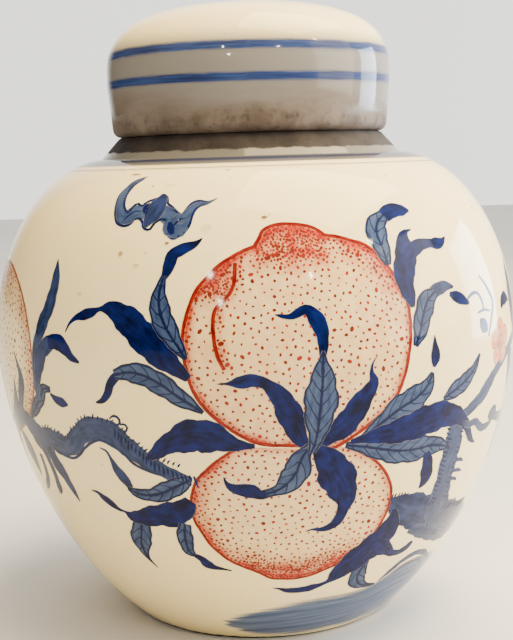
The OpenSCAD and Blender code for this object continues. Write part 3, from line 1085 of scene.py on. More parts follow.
# %% Branch, trunk and twigs
def hatching(path, reach, lean, every=1.6, width=0.8, seed=1, kind="dark"):
    """Short strokes across a path, about reach millimetres long to its left."""
    rng = np.random.default_rng(seed)
    line = smooth_path([(turn, up, 1) for turn, up in path], every)[0]
    scale = wall_radius(line[:, 1].mean()) * DEGREE
    run = np.gradient(line[:, :2] * [scale, 1], axis=0)
    run /= np.linalg.norm(run, axis=1)[:, None]
    marks = []
    for spot, heading in zip(line, run):
        long = reach * rng.uniform(0.55, 1.15)
        side = np.array([-heading[1], heading[0]]) + lean * heading
        tip = spot[:2] + long * side / [scale, 1]
        middle = (spot[:2] + tip) / 2 + rng.uniform(-0.2, 0.2, 2)
        marks.append((kind, [(*spot[:2], width * 0.5), (*middle, width), (*tip, 0.25)]))
    return marks


BRANCH = [(-51, 88.5, 5), (-48, 87.8, 8), (-45, 87, 8.5), (-42, 86.6, 7), (-39.5, 89.2, 7),
          (-36, 93.6, 7.5), (-32.5, 95, 8), (-29, 93.5, 8), (-26, 89.5, 7), (-23, 86.2, 6.2),
          (-20, 83.2, 5.2), (-17, 81, 4.4), (-13.4, 79.6, 2)]
brushed("branch_wash", [("grey", BRANCH)], cobalt_painting, lift=0.07)
brushed("branch_hatching",
        hatching([(-50, 90.8), (-46.5, 91.2), (-44, 89.6), (-42, 88.6), (-40, 91.6), (-37, 96),
                  (-34.5, 97.6), (-31, 97.6), (-28.6, 96.5), (-26, 93), (-23, 89), (-20, 86), (-16, 84)],
                  1.8, 0.4, 1.7, 0.7, 3, "dark")
        + hatching([(-13, 81), (-17, 82.6), (-20, 85), (-23, 88.6), (-26, 92.6), (-28.5, 95.5)], 3.4, -0.5,
                   1.5, 0.9, 4)
        + [("mid", [(-47, 84, .5), (-44, 82.8, 1), (-41.5, 82.6, 1), (-39, 84.6, 1), (-37, 87.4, 1),
                    (-34, 90.3, 1), (-32.5, 91, 1), (-30, 89.8, 1), (-27, 86.8, 1), (-25.5, 84.2, 1),
                    (-22.5, 82, .9), (-19, 80.4, .6)])]
        + [("mid", [(-29.3, 98.6, .4), (-28.4, 99.8, .8), (-27.2, 99.2, .8), (-27, 97.6, .8),
                    (-28.2, 96.8, .8), (-29.3, 98, .5)]),
           ("mid", [(-27, 97, .4), (-26.2, 97.4, .7), (-25.5, 96.4, .7), (-26, 95, .7), (-27, 95.4, .5)])],
        cobalt_painting, lift=0.075, over=1.0)
brushed("trunk_wash", [
    ("grey", [(43.6, 92, 6), (43.8, 87, 8.5), (43.9, 80, 9.5), (43.9, 72, 9), (44.2, 65, 10), (45, 59, 12),
              (46.5, 53, 10), (49, 47, 4)]),
    ("grey", [(44, 92, 3.2), (47, 93.4, 4), (50, 95.4, 4.6), (53, 98.2, 5.6), (55.5, 101.6, 5.2),
              (58, 105, 2)]),
    ("grey", [(46, 89.5, 2), (48.5, 88.2, 2.6), (51, 88.4, 2.6), (53, 86.6, 2.8), (55, 84.8, 2.8),
              (58, 84.6, 2.8), (60.5, 85.4, 1.6)]),
    ("grey", [(57.6, 88, 1), (59, 88.4, 5), (61, 88, 5.4), (62.8, 87.2, 1.6)]),
], cobalt_painting, lift=0.07)
brushed("trunk_hatching",
        hatching([(40.9, 91), (41, 86), (41, 80), (41, 74), (41.2, 68), (41.4, 62)], 3.0, 0.5, 1.7, 0.8, 5,
                 "dark")
        + hatching([(46.7, 90), (46.9, 84), (46.9, 76), (46.9, 68), (47.6, 62)], -2.2, 0.3, 1.9, 0.8, 6,
                   "dark")
        + [("mid", [(46.8, 76, 1.4), (48.6, 75.6, 1.4), (49.8, 74.6, .4)]),
           ("mid", [(46.8, 72, 1.4), (48.8, 71.6, 1.4), (50.3, 70.6, .4)]),
           ("mid", [(46.9, 69, 1.4), (48.4, 68.4, 1.2), (49.4, 67.4, .4)]),
           ("mid", [(59, 90, .6), (60.4, 90.6, 1), (62.2, 89, 1), (62, 86.4, .9), (60, 86, .6)])],
        cobalt_painting, lift=0.075, over=1.0)

# %% [markdown]
# Rocks and the ground are broad washes laid with a flat brush. A band helper lays a film between a
# lower and an upper line, and its finish streaks along it and fades at the edges.

# %% Rocks, water and ground
def wash(name, lower, upper, load, seed, lift=0.035, rows=13):
    """A broad wash between two lines of (degrees, millimetres up), with the same run of degrees."""
    low, along = smooth_path([(turn, up, 1) for turn, up in lower], 2.0)
    turn = low[:, 0]
    high = np.interp(turn, [p[0] for p in upper], [p[1] for p in upper])
    share = np.linspace(0, 1, rows)[:, None]
    up = low[:, 1] * (1 - share) + high * share
    tall = high - low[:, 1]
    ends = np.minimum(turn - turn[0], turn[-1] - turn) * 1.35
    edge = np.minimum(np.minimum(share, 1 - share) * tall, ends)
    layers = {"along": along, "across": (share - 0.5) * tall, "edge": edge, "load": load, "seed": seed}
    return finished(name, [film(on_jar(turn + 0 * up, up, lift), layers, rows, len(low))], cobalt_wash,
                    "jar")


brushed("rock_wash", [
    ("rock", [(28.2, 66.6, 3), (31, 64.4, 9), (35, 61.4, 13), (40, 58, 14), (46, 54, 15), (52, 50.6, 15),
              (58, 47.6, 14), (64, 45, 12), (70, 44, 6)]),
    ("grey", [(37, 52.4, 3), (42, 50, 6), (48, 46.6, 7), (54, 43, 6), (60, 40, 3)]),
], cobalt_painting, lift=0.035)
brushed("rock_hatching",
        hatching([(29, 69.4), (32, 69), (36, 66.6), (40, 64), (43.4, 62.4)], -3.4, 0.3, 1.3, 0.7, 7, "dark")
        + hatching([(31.4, 57.6), (34, 54.6), (37, 52.2), (41, 50), (45, 47.6), (50, 44.4)], 2.4, 0.2, 1.6,
                   0.7, 8, "dark")
        + hatching([(49, 58.4), (53, 57.2), (57, 56.4), (61, 55.6)], -2.8, 0.5, 1.8, 0.8, 9, "dark"),
        cobalt_painting, lift=0.06, over=1.0)
wash("ground_wash", [(-14, 10), (-8, 5), (0, 2), (10, 1.4), (25, 1.2), (40, 1.2), (55, 1.6), (75, 4),
                     (95, 9)],
     [(-14, 15), (-8, 20), (0, 24.5), (10, 27), (20, 28), (28, 28.6), (33, 30), (38, 34.5), (43, 37.5),
      (48, 38), (53, 36), (58, 34), (66, 31), (80, 26), (95, 20)], 1.0, 5.0)
brushed("water_line", [
    ("grey", [(34, 29.5, .8), (37, 33.6, 2), (40, 36.8, 2.6), (44, 38.4, 2.8), (48, 37.6, 2.6),
              (52, 34.6, 2.2), (56, 31, 1)]),
    ("thin", [(38, 31, .5), (41, 33.6, 1), (45, 34.4, 1), (49, 33, .8), (52, 30.6, .4)]),
], cobalt_painting, lift=0.055, over=0.6)

# %% [markdown]
# A small bat flies on the shoulder. Its wings and body are thin washes with a drawn line round them,
# and the body is darker.

# %% The bat
brushed("bat_wash", [
    ("soft", [(-28.4, 178.8, .8), (-30.6, 176.4, 2), (-31.7, 172.5, 2.4), (-31.5, 168, 3),
              (-30.4, 164.6, 4), (-28.6, 162.4, 5.2), (-26.8, 163.6, 5.6), (-25, 164.6, 5.6),
              (-23, 164.4, 6)]),
    ("soft", [(-21.5, 164, 7), (-19.6, 163.8, 5.4), (-17.6, 162, 6.5), (-15.6, 159.8, 7), (-14.6, 161.8, 4),
              (-13.4, 164.8, 3), (-12, 166.6, 2), (-10, 167, 1.2), (-8, 168.7, .4)]),
    ("soft", [(-18, 161.4, 3), (-16.8, 158.6, 6.6), (-15.4, 157.8, 5.4), (-14, 159.4, 2.4)]),
    ("arm", [(-17.6, 160.6, 1), (-17.2, 158.4, 2.6), (-16.6, 156.4, 1.4)]),
    ("mid", [(-20.6, 171, 1.6), (-20.9, 168.4, 4.6), (-21.6, 165, 6.2), (-22.5, 161.4, 4.6),
             (-23, 158.8, 1)]),
], cobalt_painting, lift=0.07)
brushed("bat_outline", [
    ("line", [(-27.8, 179.2, .5), (-30, 177.5, .9), (-32, 174, 1), (-32.8, 171, 1), (-32.5, 167, 1),
              (-31.5, 163, 1), (-30, 160, 1), (-28.5, 159.3, 1), (-27, 159.8, .9), (-26.2, 161, .5)]),
    ("line", [(-28.2, 178.2, .4), (-30.2, 175, .9), (-30.8, 171, .9), (-30.5, 168, .9), (-29.5, 165.3, .9),
              (-28.3, 164, .9), (-27.6, 166.4, .9), (-26.6, 167.4, .9), (-25.4, 166.4, .9),
              (-24.4, 168, .9), (-23, 168.8, 1), (-21.8, 169.4, 1), (-20.8, 171, .7)]),
    ("line", [(-20.8, 171, .7), (-19.6, 169.6, .9), (-19, 167.2, .9), (-17.8, 166, .9), (-16.6, 164.4, .9),
              (-15.2, 163, .9), (-14.4, 165, .9), (-13.4, 167.2, .9), (-12, 168.1, .9), (-9.8, 167.6, .8),
              (-7.8, 168.9, .3)]),
    ("line", [(-10.3, 167, .3), (-12.3, 165, .9), (-12.9, 162, .9), (-13.3, 159, .9), (-14.5, 156.5, .9),
              (-16.5, 155, .9), (-17.6, 156.4, .9), (-18.2, 158.8, .9), (-18.2, 160.6, .9),
              (-19.4, 161.6, .9), (-21, 160.4, .9), (-22, 158, .9), (-23.4, 158.6, .9), (-24, 160.6, .9),
              (-25.2, 162, .9), (-26.2, 161.4, .6)]),
    ("line", [(-29, 161, .4), (-28, 162.8, .8), (-26.4, 164.6, .6), (-25, 164.4, .3)]),
    ("line", [(-17.2, 157.6, .4), (-16.4, 159.8, .8), (-15.4, 161.4, .7), (-14, 162, .3)]),
    ("dark", [(-19.6, 168.6, 1.4), (-20.4, 166.6, 2.6), (-21.2, 164.6, 1.4)]),
    ("dark", [(-23.4, 167.4, 1.2), (-24.2, 165.4, 2), (-23.6, 163.4, 1)]),
], cobalt_painting, lift=0.065, over=1.0)

# %% [markdown]
# Bands on the neck and the lid are drawn while the pot turns on the wheel. Each is a ring of film.

# %% Wheel-drawn bands
def ring(name, surface, low, high, body, material, load=1.0, seed=0.0, lift=0.05, rows=9):
    """A band right round the pot between two distances up its wall."""
    turn = np.linspace(0, 360, 241)
    share = np.linspace(0, 1, rows)[:, None]
    up = low + (high - low) * share + 0.25 * np.sin(np.radians(turn) * 2 + seed)
    half = (high - low) / 2
    layers = {"along": turn * 1.2, "across": (share * 2 - 1) * half,
              "edge": (1 - abs(share * 2 - 1)) * half,
              "load": load, "seed": seed}
    patch = film(surface(turn + 0 * up, up, lift), layers, rows, len(turn))
    deselect_all()
    patch.select_set(True)
    bpy.context.view_layer.objects.active = patch
    bpy.ops.object.mode_set(mode="EDIT")
    bpy.ops.mesh.select_all(action="SELECT")
    bpy.ops.mesh.remove_doubles(threshold=0.00001)
    bpy.ops.object.mode_set(mode="OBJECT")
    return finished(name, [patch], material, body)


def lid_up(z):
    """Distance up the lid's side, in millimetres, at a height above the table."""
    return float(np.interp(z, lid_side[:, 1], on_lid.climb))


ring("neck_band_wide", on_jar, 186.0, 194.0, "jar", slate_ring, 0.85, 1.0)
ring("neck_band_thin", on_jar, 182.9, 184.5, "jar", slate_ring, 0.8, 2.0)
ring("lid_band_upper", on_lid, lid_up(198.6), lid_up(203.0), "lid", cobalt_ring, 0.95, 3.0)
ring("lid_band_lower", on_lid, lid_up(188.6), lid_up(193.0), "lid", cobalt_ring, 0.95, 4.0)

# %% [markdown]
# Farther round on the left stands another fruiting branch, with tall blades and a tuft of leaves.

# %% Leaves at the far left
brushed("blade_far_left", [
    ("soft", [(-49.2, 101, 2), (-49, 107, 4), (-48.5, 112, 5), (-47.8, 118, 5)]),
    ("blade", [(-48.9, 109, 3), (-48.4, 116, 4.4), (-47.4, 122, 4.6), (-46, 127, 5.4), (-44.5, 132, 5.2),
               (-43.7, 137.5, 4.6), (-43.8, 143, 3.2), (-44.4, 147.6, .4)]),
    ("mid", [(-48.6, 107, 3), (-47.5, 113, 5.5), (-46, 118, 6), (-43.5, 121, 5.2)]),
    ("dark", [(-44, 120.8, 4.6), (-41, 121.5, 5.4), (-39, 119.5, 4.2), (-37, 117, 2.5),
              (-35.3, 115.8, .8)]),
], cobalt_painting, lift=0.07)
brushed("tuft_far_left", [
    ("pale", [(-54, 94, 2), (-51, 98, 4.6), (-48.5, 102, 5), (-46.5, 105.5, 3.6), (-44.4, 105.6, 2)]),
    ("dark", [(-44.6, 104.2, 1), (-42.5, 102.3, 3), (-40.8, 101.8, 3.2), (-39.6, 101.4, .8)]),
    ("mid", [(-59, 96, 3), (-57, 102, 4.8), (-55.8, 107.5, 3.8), (-56.8, 111.5, 1.8), (-58.2, 115.5, .4)]),
    ("grey", [(-62, 96, 2), (-57, 92, 7), (-53, 87.5, 10), (-50, 83.5, 8), (-48.5, 80, 4)]),
    ("mid", [(-50, 84, 4), (-48.2, 78.5, 5.8), (-46.4, 73.5, 4.2), (-45.2, 69, 2.6), (-44.4, 65.2, .5)]),
    ("mid", [(-52.5, 83, 3), (-51.2, 77, 2.6), (-51, 71.5, 2.8), (-51.5, 67.5, 3), (-52.2, 65.6, .6)]),
    ("mid", [(-55, 80, 2), (-55, 75, 2), (-56, 70.5, 2.4), (-58, 67.2, 2.4), (-59.8, 64.6, .6)]),
    ("mid", [(-57, 93, 3), (-61, 91.5, 5), (-65, 88, 4.6), (-68.5, 83.5, 2.6), (-70.5, 79, .5)]),
], cobalt_painting, lift=0.07)

# %% [markdown]
# The side and the back continue the same tree. A second large peach stands at the left side, with
# its own leaves, and a third at the back beyond the trunk. The front's own drawing is reused here,
# moved round and up, the way a workshop painter repeats a motif.

# %% Fruit round the sides and the back
def shifted(points, turn_by, up_by):
    """A drawing moved round the jar and up its wall."""
    return [(turn + turn_by, up + up_by) for turn, up in points]


def second_dense(turn, up, edge):
    """Density on the side peach: strongest at its top and inside its front edge."""
    top = soft(up, 124, 142)
    front = (1 - soft(edge, 2, 9)) * soft(turn, -66, -56) * 0.8
    return np.clip(np.maximum.reduce([top * 0.8, front, (1 - soft(edge, 1, 4)) * 0.3]), 0, 1)


SIDE_PEACH = [(-70, 144.5), (-65, 143), (-61, 140.5), (-57, 136.5), (-54, 132), (-52, 127), (-50.7, 122),
              (-50, 117), (-49.8, 110), (-50.6, 104), (-53, 98), (-57, 92), (-63, 87), (-70, 84.5),
              (-77, 86), (-83, 91), (-87.5, 99), (-90, 109), (-90.5, 119), (-88.5, 129), (-84.5, 137),
              (-78, 142.8)]
# This blush film also carries tan painted shade where it is thin.
blush("side_peach_blush_and_shade", SIDE_PEACH, (-70, 114),
      lambda turn, up, edge: 0.06 + 0.6 * second_dense(turn, up, edge))
dots("side_peach_dots", SIDE_PEACH, lambda turn, up, edge: 2.4 - 1.3 * second_dense(turn, up, edge), 13)
red_lines("side_peach_outline", [SIDE_PEACH + [SIDE_PEACH[0]]], 1.0, 0.9)

BACK_TURN = 172
BACK_PEACH = shifted(BIG_PEACH, BACK_TURN, -2)
# This blush film also carries tan painted shade where it is thin.
blush("back_peach_blush_and_shade", BACK_PEACH, (8 + BACK_TURN, 120),
      lambda turn, up, edge: big_blush_and_shade(turn - BACK_TURN, up + 2, edge))
dots("back_peach_dots", BACK_PEACH, lambda turn, up, edge: big_spacing(turn - BACK_TURN, up + 2, edge), 14)
red_lines("back_peach_outline", [BACK_PEACH + [BACK_PEACH[0]]], 1.0, 0.95)


def leaf(base, tip, wide, kind="dark", bow=0.16):
    """A leaf stroke from its base to its tip, bowed to its left by a share of its length."""
    base, tip = np.array(base, float), np.array(tip, float)
    scale = wall_radius((base[1] + tip[1]) / 2) * DEGREE
    run = (tip - base) * [scale, 1]
    side = np.array([-run[1], run[0]])
    points = []
    for share, swell in ((0, 0.2), (0.12, 0.55), (0.3, 0.95), (0.48, 1.0), (0.66, 0.78), (0.82, 0.45),
                         (1.0, 0.04)):
        arch = bow * 4 * share * (1 - share)
        spot = base * [scale, 1] + run * share + side * arch
        points.append((spot[0] / scale, spot[1], wide * swell))
    return kind, points


brushed("leaves_left_side", [
    leaf((-72, 84), (-92, 70), 9, "dark", 0.2), leaf((-68, 84), (-74, 62), 8, "pale", -0.15),
    leaf((-64, 86), (-60, 70), 7, "mid", 0.1), leaf((-76, 85), (-98, 88), 8, "pale", -0.18),
    leaf((-74, 86), (-72, 112), 9, "pale", 0.12), leaf((-72, 86), (-60, 106), 7, "dark", -0.2),
    leaf((-78, 87), (-88, 107), 8, "dark", 0.2),
], cobalt_painting, lift=0.062)
brushed("branch_left_side", [
    ("grey", [(-78, 80, 5), (-90, 74, 7), (-101, 73, 7.5), (-110, 79, 7), (-118, 88, 6.5), (-124, 99, 5.5),
              (-128, 112, 4.5), (-127, 126, 3), (-124, 138, 1.5)]),
    ("grey", [(-108, 77, 4), (-116, 72, 5), (-126, 70, 5), (-136, 74, 4), (-144, 82, 2)]),
    leaf((-118, 90), (-104, 108), 9, "dark", 0.15), leaf((-122, 96), (-109, 124), 8, "pale", -0.15),
    leaf((-127, 112), (-140, 130), 8, "dark", 0.16), leaf((-125, 128), (-113, 150), 8, "pale", 0.14),
    leaf((-124, 136), (-132, 158), 7, "dark", -0.15), leaf((-104, 73), (-98, 52), 8, "pale", 0.12),
    leaf((-112, 73), (-114, 50), 8, "dark", -0.16), leaf((-132, 71), (-130, 48), 8, "pale", 0.14),
    leaf((-140, 77), (-152, 60), 8, "dark", 0.2), leaf((-124, 100), (-142, 106), 8, "pale", 0.16),
], cobalt_painting, lift=0.05)
brushed("leaves_back", [
    leaf((182, 90), (164, 108), 9, "dark", 0.2), leaf((184, 90), (185, 118), 10, "pale", 0.05),
    leaf((186, 90), (198, 112), 9, "dark", -0.14), leaf((180, 89), (160, 84), 9, "dark", -0.14),
    leaf((182, 88), (172, 68), 8, "pale", 0.14), leaf((187, 88), (194, 62), 10, "dark", 0.16),
    leaf((190, 89), (212, 84), 9, "pale", -0.12), leaf((158, 92), (140, 108), 8, "pale", 0.16),
    leaf((160, 86), (142, 74), 8, "dark", 0.16), leaf((208, 100), (216, 122), 8, "dark", -0.18),
    leaf((206, 88), (214, 66), 8, "pale", 0.16),
], cobalt_painting, lift=0.062)
brushed("branch_back", [
    ("grey", [(206, 88, 4), (198, 84, 6), (189, 86, 6.5), (178, 86, 7), (166, 84, 7), (155, 88, 6.5),
              (146, 84, 6), (138, 74, 7), (132, 62, 8), (128, 48, 9), (124, 38, 6)]),
    ("grey", [(148, 85, 4), (141, 94, 4.5), (136, 106, 4), (133, 120, 3), (134, 134, 1.5)]),
], cobalt_painting, lift=0.045)

# %% [markdown]
# To the right of the trunk the tree is in blossom, with five round petals in pale iron red round a
# darker eye, and a few leaves. The outline of each petal is drawn with the fine brush.

# %% Blossom
def petal(middle, angle, reach, wide):
    """One rounded petal of blossom as a stroke from its middle outwards."""
    scale = wall_radius(middle[1]) * DEGREE
    way = np.array([math.cos(math.radians(angle)) / scale, math.sin(math.radians(angle))])
    shares = ((0.12, 0.35), (0.35, 0.85), (0.62, 1.0), (0.85, 0.8), (1.0, 0.3))
    return [(middle[0] + way[0] * reach * s, middle[1] + way[1] * reach * s, wide * w) for s, w in shares]


def blossom(name, flowers):
    """Flowers of five petals, with a darker eye, at (degrees, millimetres up, first petal's angle)."""
    patches = []
    for number, (turn, up, first) in enumerate(flowers):
        for index in range(5):
            path = petal((turn, up), first + 72 * index, 8.2, 7.4)
            patches.append(stroke(path, 0.03 + 0.006 * index, 0.55, 0, 3 * index + number, step=0.9,
                                  rows=7))
        patches.append(stroke([(turn - 1.2, up - 0.6, 1.2), (turn, up, 3.4), (turn + 1.2, up + 0.6, 1.2)],
                              0.07,
                              1.0, 0, number, step=0.8))
    return finished(name, patches, iron_petal, "jar")


def iron_petals(tree, place, layer):
    """A petal: pale iron red that darkens towards its drawn edge and its middle."""
    soft_wash = add(tree, "STEP", add(tree, "NOISE", place, per_metre(3.5), 3.0), 0.3, 0.7)
    colour = add(tree, "MIX", soft_wash, "#CC6A44", "#E0A07A")
    rim = add(tree, "STEP", layer["edge"], 0.95, 0.45)
    heart = add(tree, "STEP", layer["along"], 3.2, 0.6)
    dense = add(tree, "MAXIMUM", rim, heart)
    colour = add(tree, "MIX", add(tree, "MULTIPLY", dense, 0.85), colour, "#8E2A12")
    share = add(tree, "STEP", layer["edge"], 0.0, 0.25)
    return colour, add(tree, "MULTIPLY", share, 0.92)


iron_petal = glazed_over("iron_red_petal", iron_petals)
blossom("blossom_right", [(59.5, 113.5, 20), (84, 126, 50), (101, 108, 5), (93, 84, 35)])
blossom("blossom_left", [(-133, 146, 10), (-151, 116, 40), (-109, 132, 25)])
brushed("leaves_right_side", [
    ("grey", [(57, 103.5, 4), (63, 108, 4), (71, 113, 4.4), (79, 118.5, 4), (88, 121, 3.4), (98, 119.5, 3),
              (107, 114, 2)]),
    ("grey", [(62, 86.5, 3), (70, 84, 4.4), (79, 82.5, 5), (88, 79, 4.6), (98, 80.5, 4), (107, 86.5, 3),
              (114, 95, 1.6)]),
    ("dark", [(61, 124.6, 1.5), (62.4, 126.8, 4), (64.4, 127.4, 4.4), (67, 126.2, 1)]),
    leaf((66, 111), (69, 93), 7, "mid", 0.14), leaf((72, 114), (73, 140), 8, "pale", 0.12),
    leaf((78, 118), (91, 141), 8, "dark", 0.14), leaf((90, 121), (108, 135), 7, "pale", -0.14),
    leaf((104, 116), (122, 120), 8, "dark", -0.16), leaf((74, 84), (80, 62), 8, "dark", -0.15),
    leaf((84, 80), (97, 60), 8, "pale", 0.14), leaf((98, 80), (118, 70), 8, "dark", 0.15),
    leaf((110, 92), (127, 101), 7, "pale", 0.12), leaf((76, 86), (88, 103), 7, "pale", -0.15),
], cobalt_painting, lift=0.05)
wash("ground_wash_back", [(120, 9), (140, 5), (165, 4), (190, 4), (215, 6), (235, 11)],
     [(120, 20), (140, 25), (165, 28), (190, 27), (215, 23), (235, 16)], 0.9, 8.0)
wash("rock_wash_back", [(106, 24), (113, 30), (120, 34), (128, 33), (136, 28), (142, 22)],
     [(106, 40), (113, 52), (120, 58), (128, 55), (136, 46), (142, 33)], 0.95, 9.0)

# %% [markdown]
# Wood ash and iron in the clay left brown grains and small burst pits on the shoulder. They are flat
# spots of iron brown, bigger and darker than the grains that the glaze itself carries.

# %% Iron spots
def iron_spot(tree, place, layer):
    """A burnt brown fleck, darkest in the middle and feathered into the glaze."""
    grit = add(tree, "NOISE", place, per_metre(0.7), 3.0)
    colour = add(tree, "MIX", add(tree, "STEP", grit, 0.35, 0.65), "#3A2415", "#8A6238")
    ragged = add(tree, "MULTIPLY", add(tree, "SUBTRACT", grit, 0.5), 0.9)
    share = add(tree, "STEP", add(tree, "ADD", layer["edge"], ragged), 0.0, 0.4)
    return colour, add(tree, "MULTIPLY", share, layer["load"])


iron_fleck = glazed_over("iron_brown_fleck", iron_spot)
FLECKS = [(-32, 180.5, 3.6, 1.5, 0.85), (-38, 183.2, 2.2, 1.0, 0.6), (-24.5, 174.5, 1.2, 1.0, 0.9),
          (-20, 175, 3.4, 0.7, 0.35), (-17.5, 153.5, 1.4, 1.3, 0.95), (-27.5, 150, 1.7, 2.2, 0.7),
          (-25.9, 151.6, 0.7, 0.7, 0.5), (-23.5, 146.5, 2.4, 1.3, 0.45), (2.5, 161.5, 2.0, 1.5, 0.95),
          (3.6, 162.4, 0.8, 0.8, 0.6), (-9.5, 158.5, 3.2, 2.6, 0.22), (-6, 182, 1.8, 0.8, 0.7),
          (-5, 178, 1.2, 0.7, 0.3), (-21.8, 150.5, 1.4, 1.2, 0.35), (-36, 137, 2.2, 2.0, 0.25),
          (36, 176, 1.5, 0.9, 0.5), (64, 160, 1.6, 1.2, 0.6), (97, 152, 1.4, 1.1, 0.6),
          (131, 168, 2.2, 1.2, 0.7), (158, 60, 1.6, 1.2, 0.5), (203, 160, 1.8, 1.2, 0.7),
          (241, 148, 1.4, 1.3, 0.6), (-100, 45, 1.6, 1.4, 0.5)]
fleck_patches = []
for number, (turn, up, wide, tall, load) in enumerate(FLECKS):
    reach = wide / 2 / (float(wall_radius(up)) * DEGREE)
    path = [(turn - reach, up, tall * 0.3), (turn - reach * 0.5, up, tall * 0.9),
            (turn + reach * 0.1, up, tall), (turn + reach * 0.6, up + 0.1, tall * 0.8),
            (turn + reach, up, tall * 0.25)]
    fleck_patches.append(stroke(path, 0.1, load, 0, number, step=0.4))
finished("iron_flecks", fleck_patches, iron_fleck, "jar")

# %% [markdown]
# The crown of the lid carries a spray of its own: a small peach with leaves round it, in the same
# cobalt and iron red, seen from the front only as a sliver at the right.

# %% Spray on the lid's crown
def crown_stroke(points, lift, load, veined, seed, step=1.2, rows=5):
    """A brushstroke on the crown through (millimetres right, millimetres back, width)."""
    points = np.array(points, float)
    gaps = np.linalg.norm(np.diff(points[:, :2], axis=0), axis=1)
    knots = np.r_[0, np.cumsum(gaps)]
    at = np.linspace(0, knots[-1], max(4, int(knots[-1] / step)))
    line = soft_curve(points, gaps, knots, np.gradient(points, knots, axis=0), at)
    run = np.gradient(line[:, :2], axis=0)
    run /= np.linalg.norm(run, axis=1)[:, None]
    v = np.linspace(-1, 1, rows)[:, None]
    half = np.maximum(line[:, 2], 0.15) / 2
    x = line[:, 0] - v * half * run[:, 1]
    y = line[:, 1] + v * half * run[:, 0]
    layers = {"along": at, "across": v * half, "edge": (1 - abs(v)) * half, "load": load, "veined": veined,
              "seed": seed}
    return film(on_crown(x, y, lift), layers, rows, len(at))


def crown_leaf(base, tip, wide, kind, bow, number):
    """A leaf on the crown, from its base to its tip in millimetres."""
    base, tip = np.array(base, float), np.array(tip, float)
    run = tip - base
    side = np.array([-run[1], run[0]])
    points = [(*(base + run * s + side * bow * 4 * s * (1 - s)), wide * w)
              for s, w in ((0, 0.2), (0.3, 0.95), (0.55, 1.0), (0.8, 0.55), (1.0, 0.05))]
    load, veined = KINDS[kind]
    return crown_stroke(points, 0.05 + 0.004 * number, load, veined, number * 5.1)


finished("lid_crown_leaves", [
    crown_leaf((6, 2), (30, -12), 9, "pale", 0.12, 1), crown_leaf((6, 4), (34, 8), 8, "dark", -0.12, 2),
    crown_leaf((2, 8), (14, 30), 8, "pale", 0.12, 3), crown_leaf((-4, 8), (-18, 26), 8, "dark", -0.12, 4),
    crown_leaf((-8, 4), (-30, 6), 8, "pale", 0.12, 5), crown_leaf((-8, 0), (-26, -16), 8, "dark", -0.1, 6),
    crown_leaf((24, -8), (33, -21), 5, "dark", 0.14, 7), crown_leaf((0, -8), (4, -27), 7, "pale", 0.1, 8),
], cobalt_painting, "lid")


def crown_ring(r, wide, lift, load, seed):
    """A drawn circle on the crown."""
    angle = np.radians(np.linspace(0, 360, 73))
    v = np.linspace(-1, 1, 5)[:, None]
    reach = r * (1 + 0.05 * np.cos(angle - 1.0)) + v * wide / 2
    layers = {"along": angle * r, "across": v * wide / 2, "edge": (1 - abs(v)) * wide / 2, "load": load,
              "veined": 0.0, "seed": seed}
    return film(on_crown(reach * np.cos(angle), reach * np.sin(angle), lift)[::-1], layers, 5, 73)


finished("lid_crown_peach_outline", [crown_ring(9.0, 1.0, 0.08, 1.0, 2.0)], iron_drawn, "lid")
crown_dots = []
for ring_r, count in ((1.8, 4), (4.2, 9), (6.6, 14)):
    for index in range(count):
        angle = 2 * math.pi * (index + 0.3 * ring_r) / count
        x, y = ring_r * math.cos(angle), ring_r * math.sin(angle)
        touch = [(x - 0.5, y, 0.4), (x, y, 0.9), (x + 0.5, y, 0.4)]
        crown_dots.append(crown_stroke(touch, 0.06, 1.0, 0, index))
finished("lid_crown_peach_dots", crown_dots, iron_drawn, "lid")

# %% [markdown]
# The jar stands on a plain pale floor under soft light: a broad warm light above the front, a cool
# window-sized one at the right that gives the long shine on the shoulder, and a weak one at the left.

# %% Floor, world and lights
deselect_all()
bpy.ops.mesh.primitive_plane_add(size=6, location=(0, 0, 0))
floor = bpy.context.object
floor.name = "studio_floor"
paper, tree, output, place = new_material("matt_paper_backdrop")
tone = add(tree, "MIX", add(tree, "STEP", add(tree, "NOISE", place, per_metre(400), 2.0), 0.3, 0.7),
           "#D3D1CD", "#CBC9C5")
sheet = add(tree, "ShaderNodeBsdfPrincipled", {"Base Color": tone, "Roughness": 0.9})
tree.links.new(sheet, output.inputs[0])
floor.data.materials.append(paper)
floor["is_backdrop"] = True

world = bpy.data.worlds.new("studio_world")
bpy.context.scene.world = world
world.use_nodes = True
sky = world.node_tree
background = sky.nodes["Background"]
towards = add(sky, "ShaderNodeTexCoord", out="Generated")
way = add(sky, "ShaderNodeSeparateXYZ", towards).node.outputs
back = add(sky, "STEP", add(sky, "ADD", way[1], add(sky, "MULTIPLY", way[0], 1.05)), 0.05, 0.65)
right_side = add(sky, "STEP", way[0], 0.05, 0.8)
top = add(sky, "STEP", way[2], 0.25, 0.9)
tone = add(sky, "MIX", right_side, "#F1EDE6", "#EEF3F8")
tone = add(sky, "MIX", back, tone, "#F6F4F0")
sky.links.new(tone, background.inputs[0])
strength = add(sky, "ADD", add(sky, "MULTIPLY", back, 1.9), add(sky, "MULTIPLY", right_side, 0.7))
strength = add(sky, "ADD", strength, add(sky, "MULTIPLY", top, 1.0))
left_dim = add(sky, "MULTIPLY", add(sky, "STEP", way[0], -0.7, 0.1), 0.17)
sky.links.new(add(sky, "ADD", strength, add(sky, "ADD", left_dim, 0.03)), background.inputs[1])


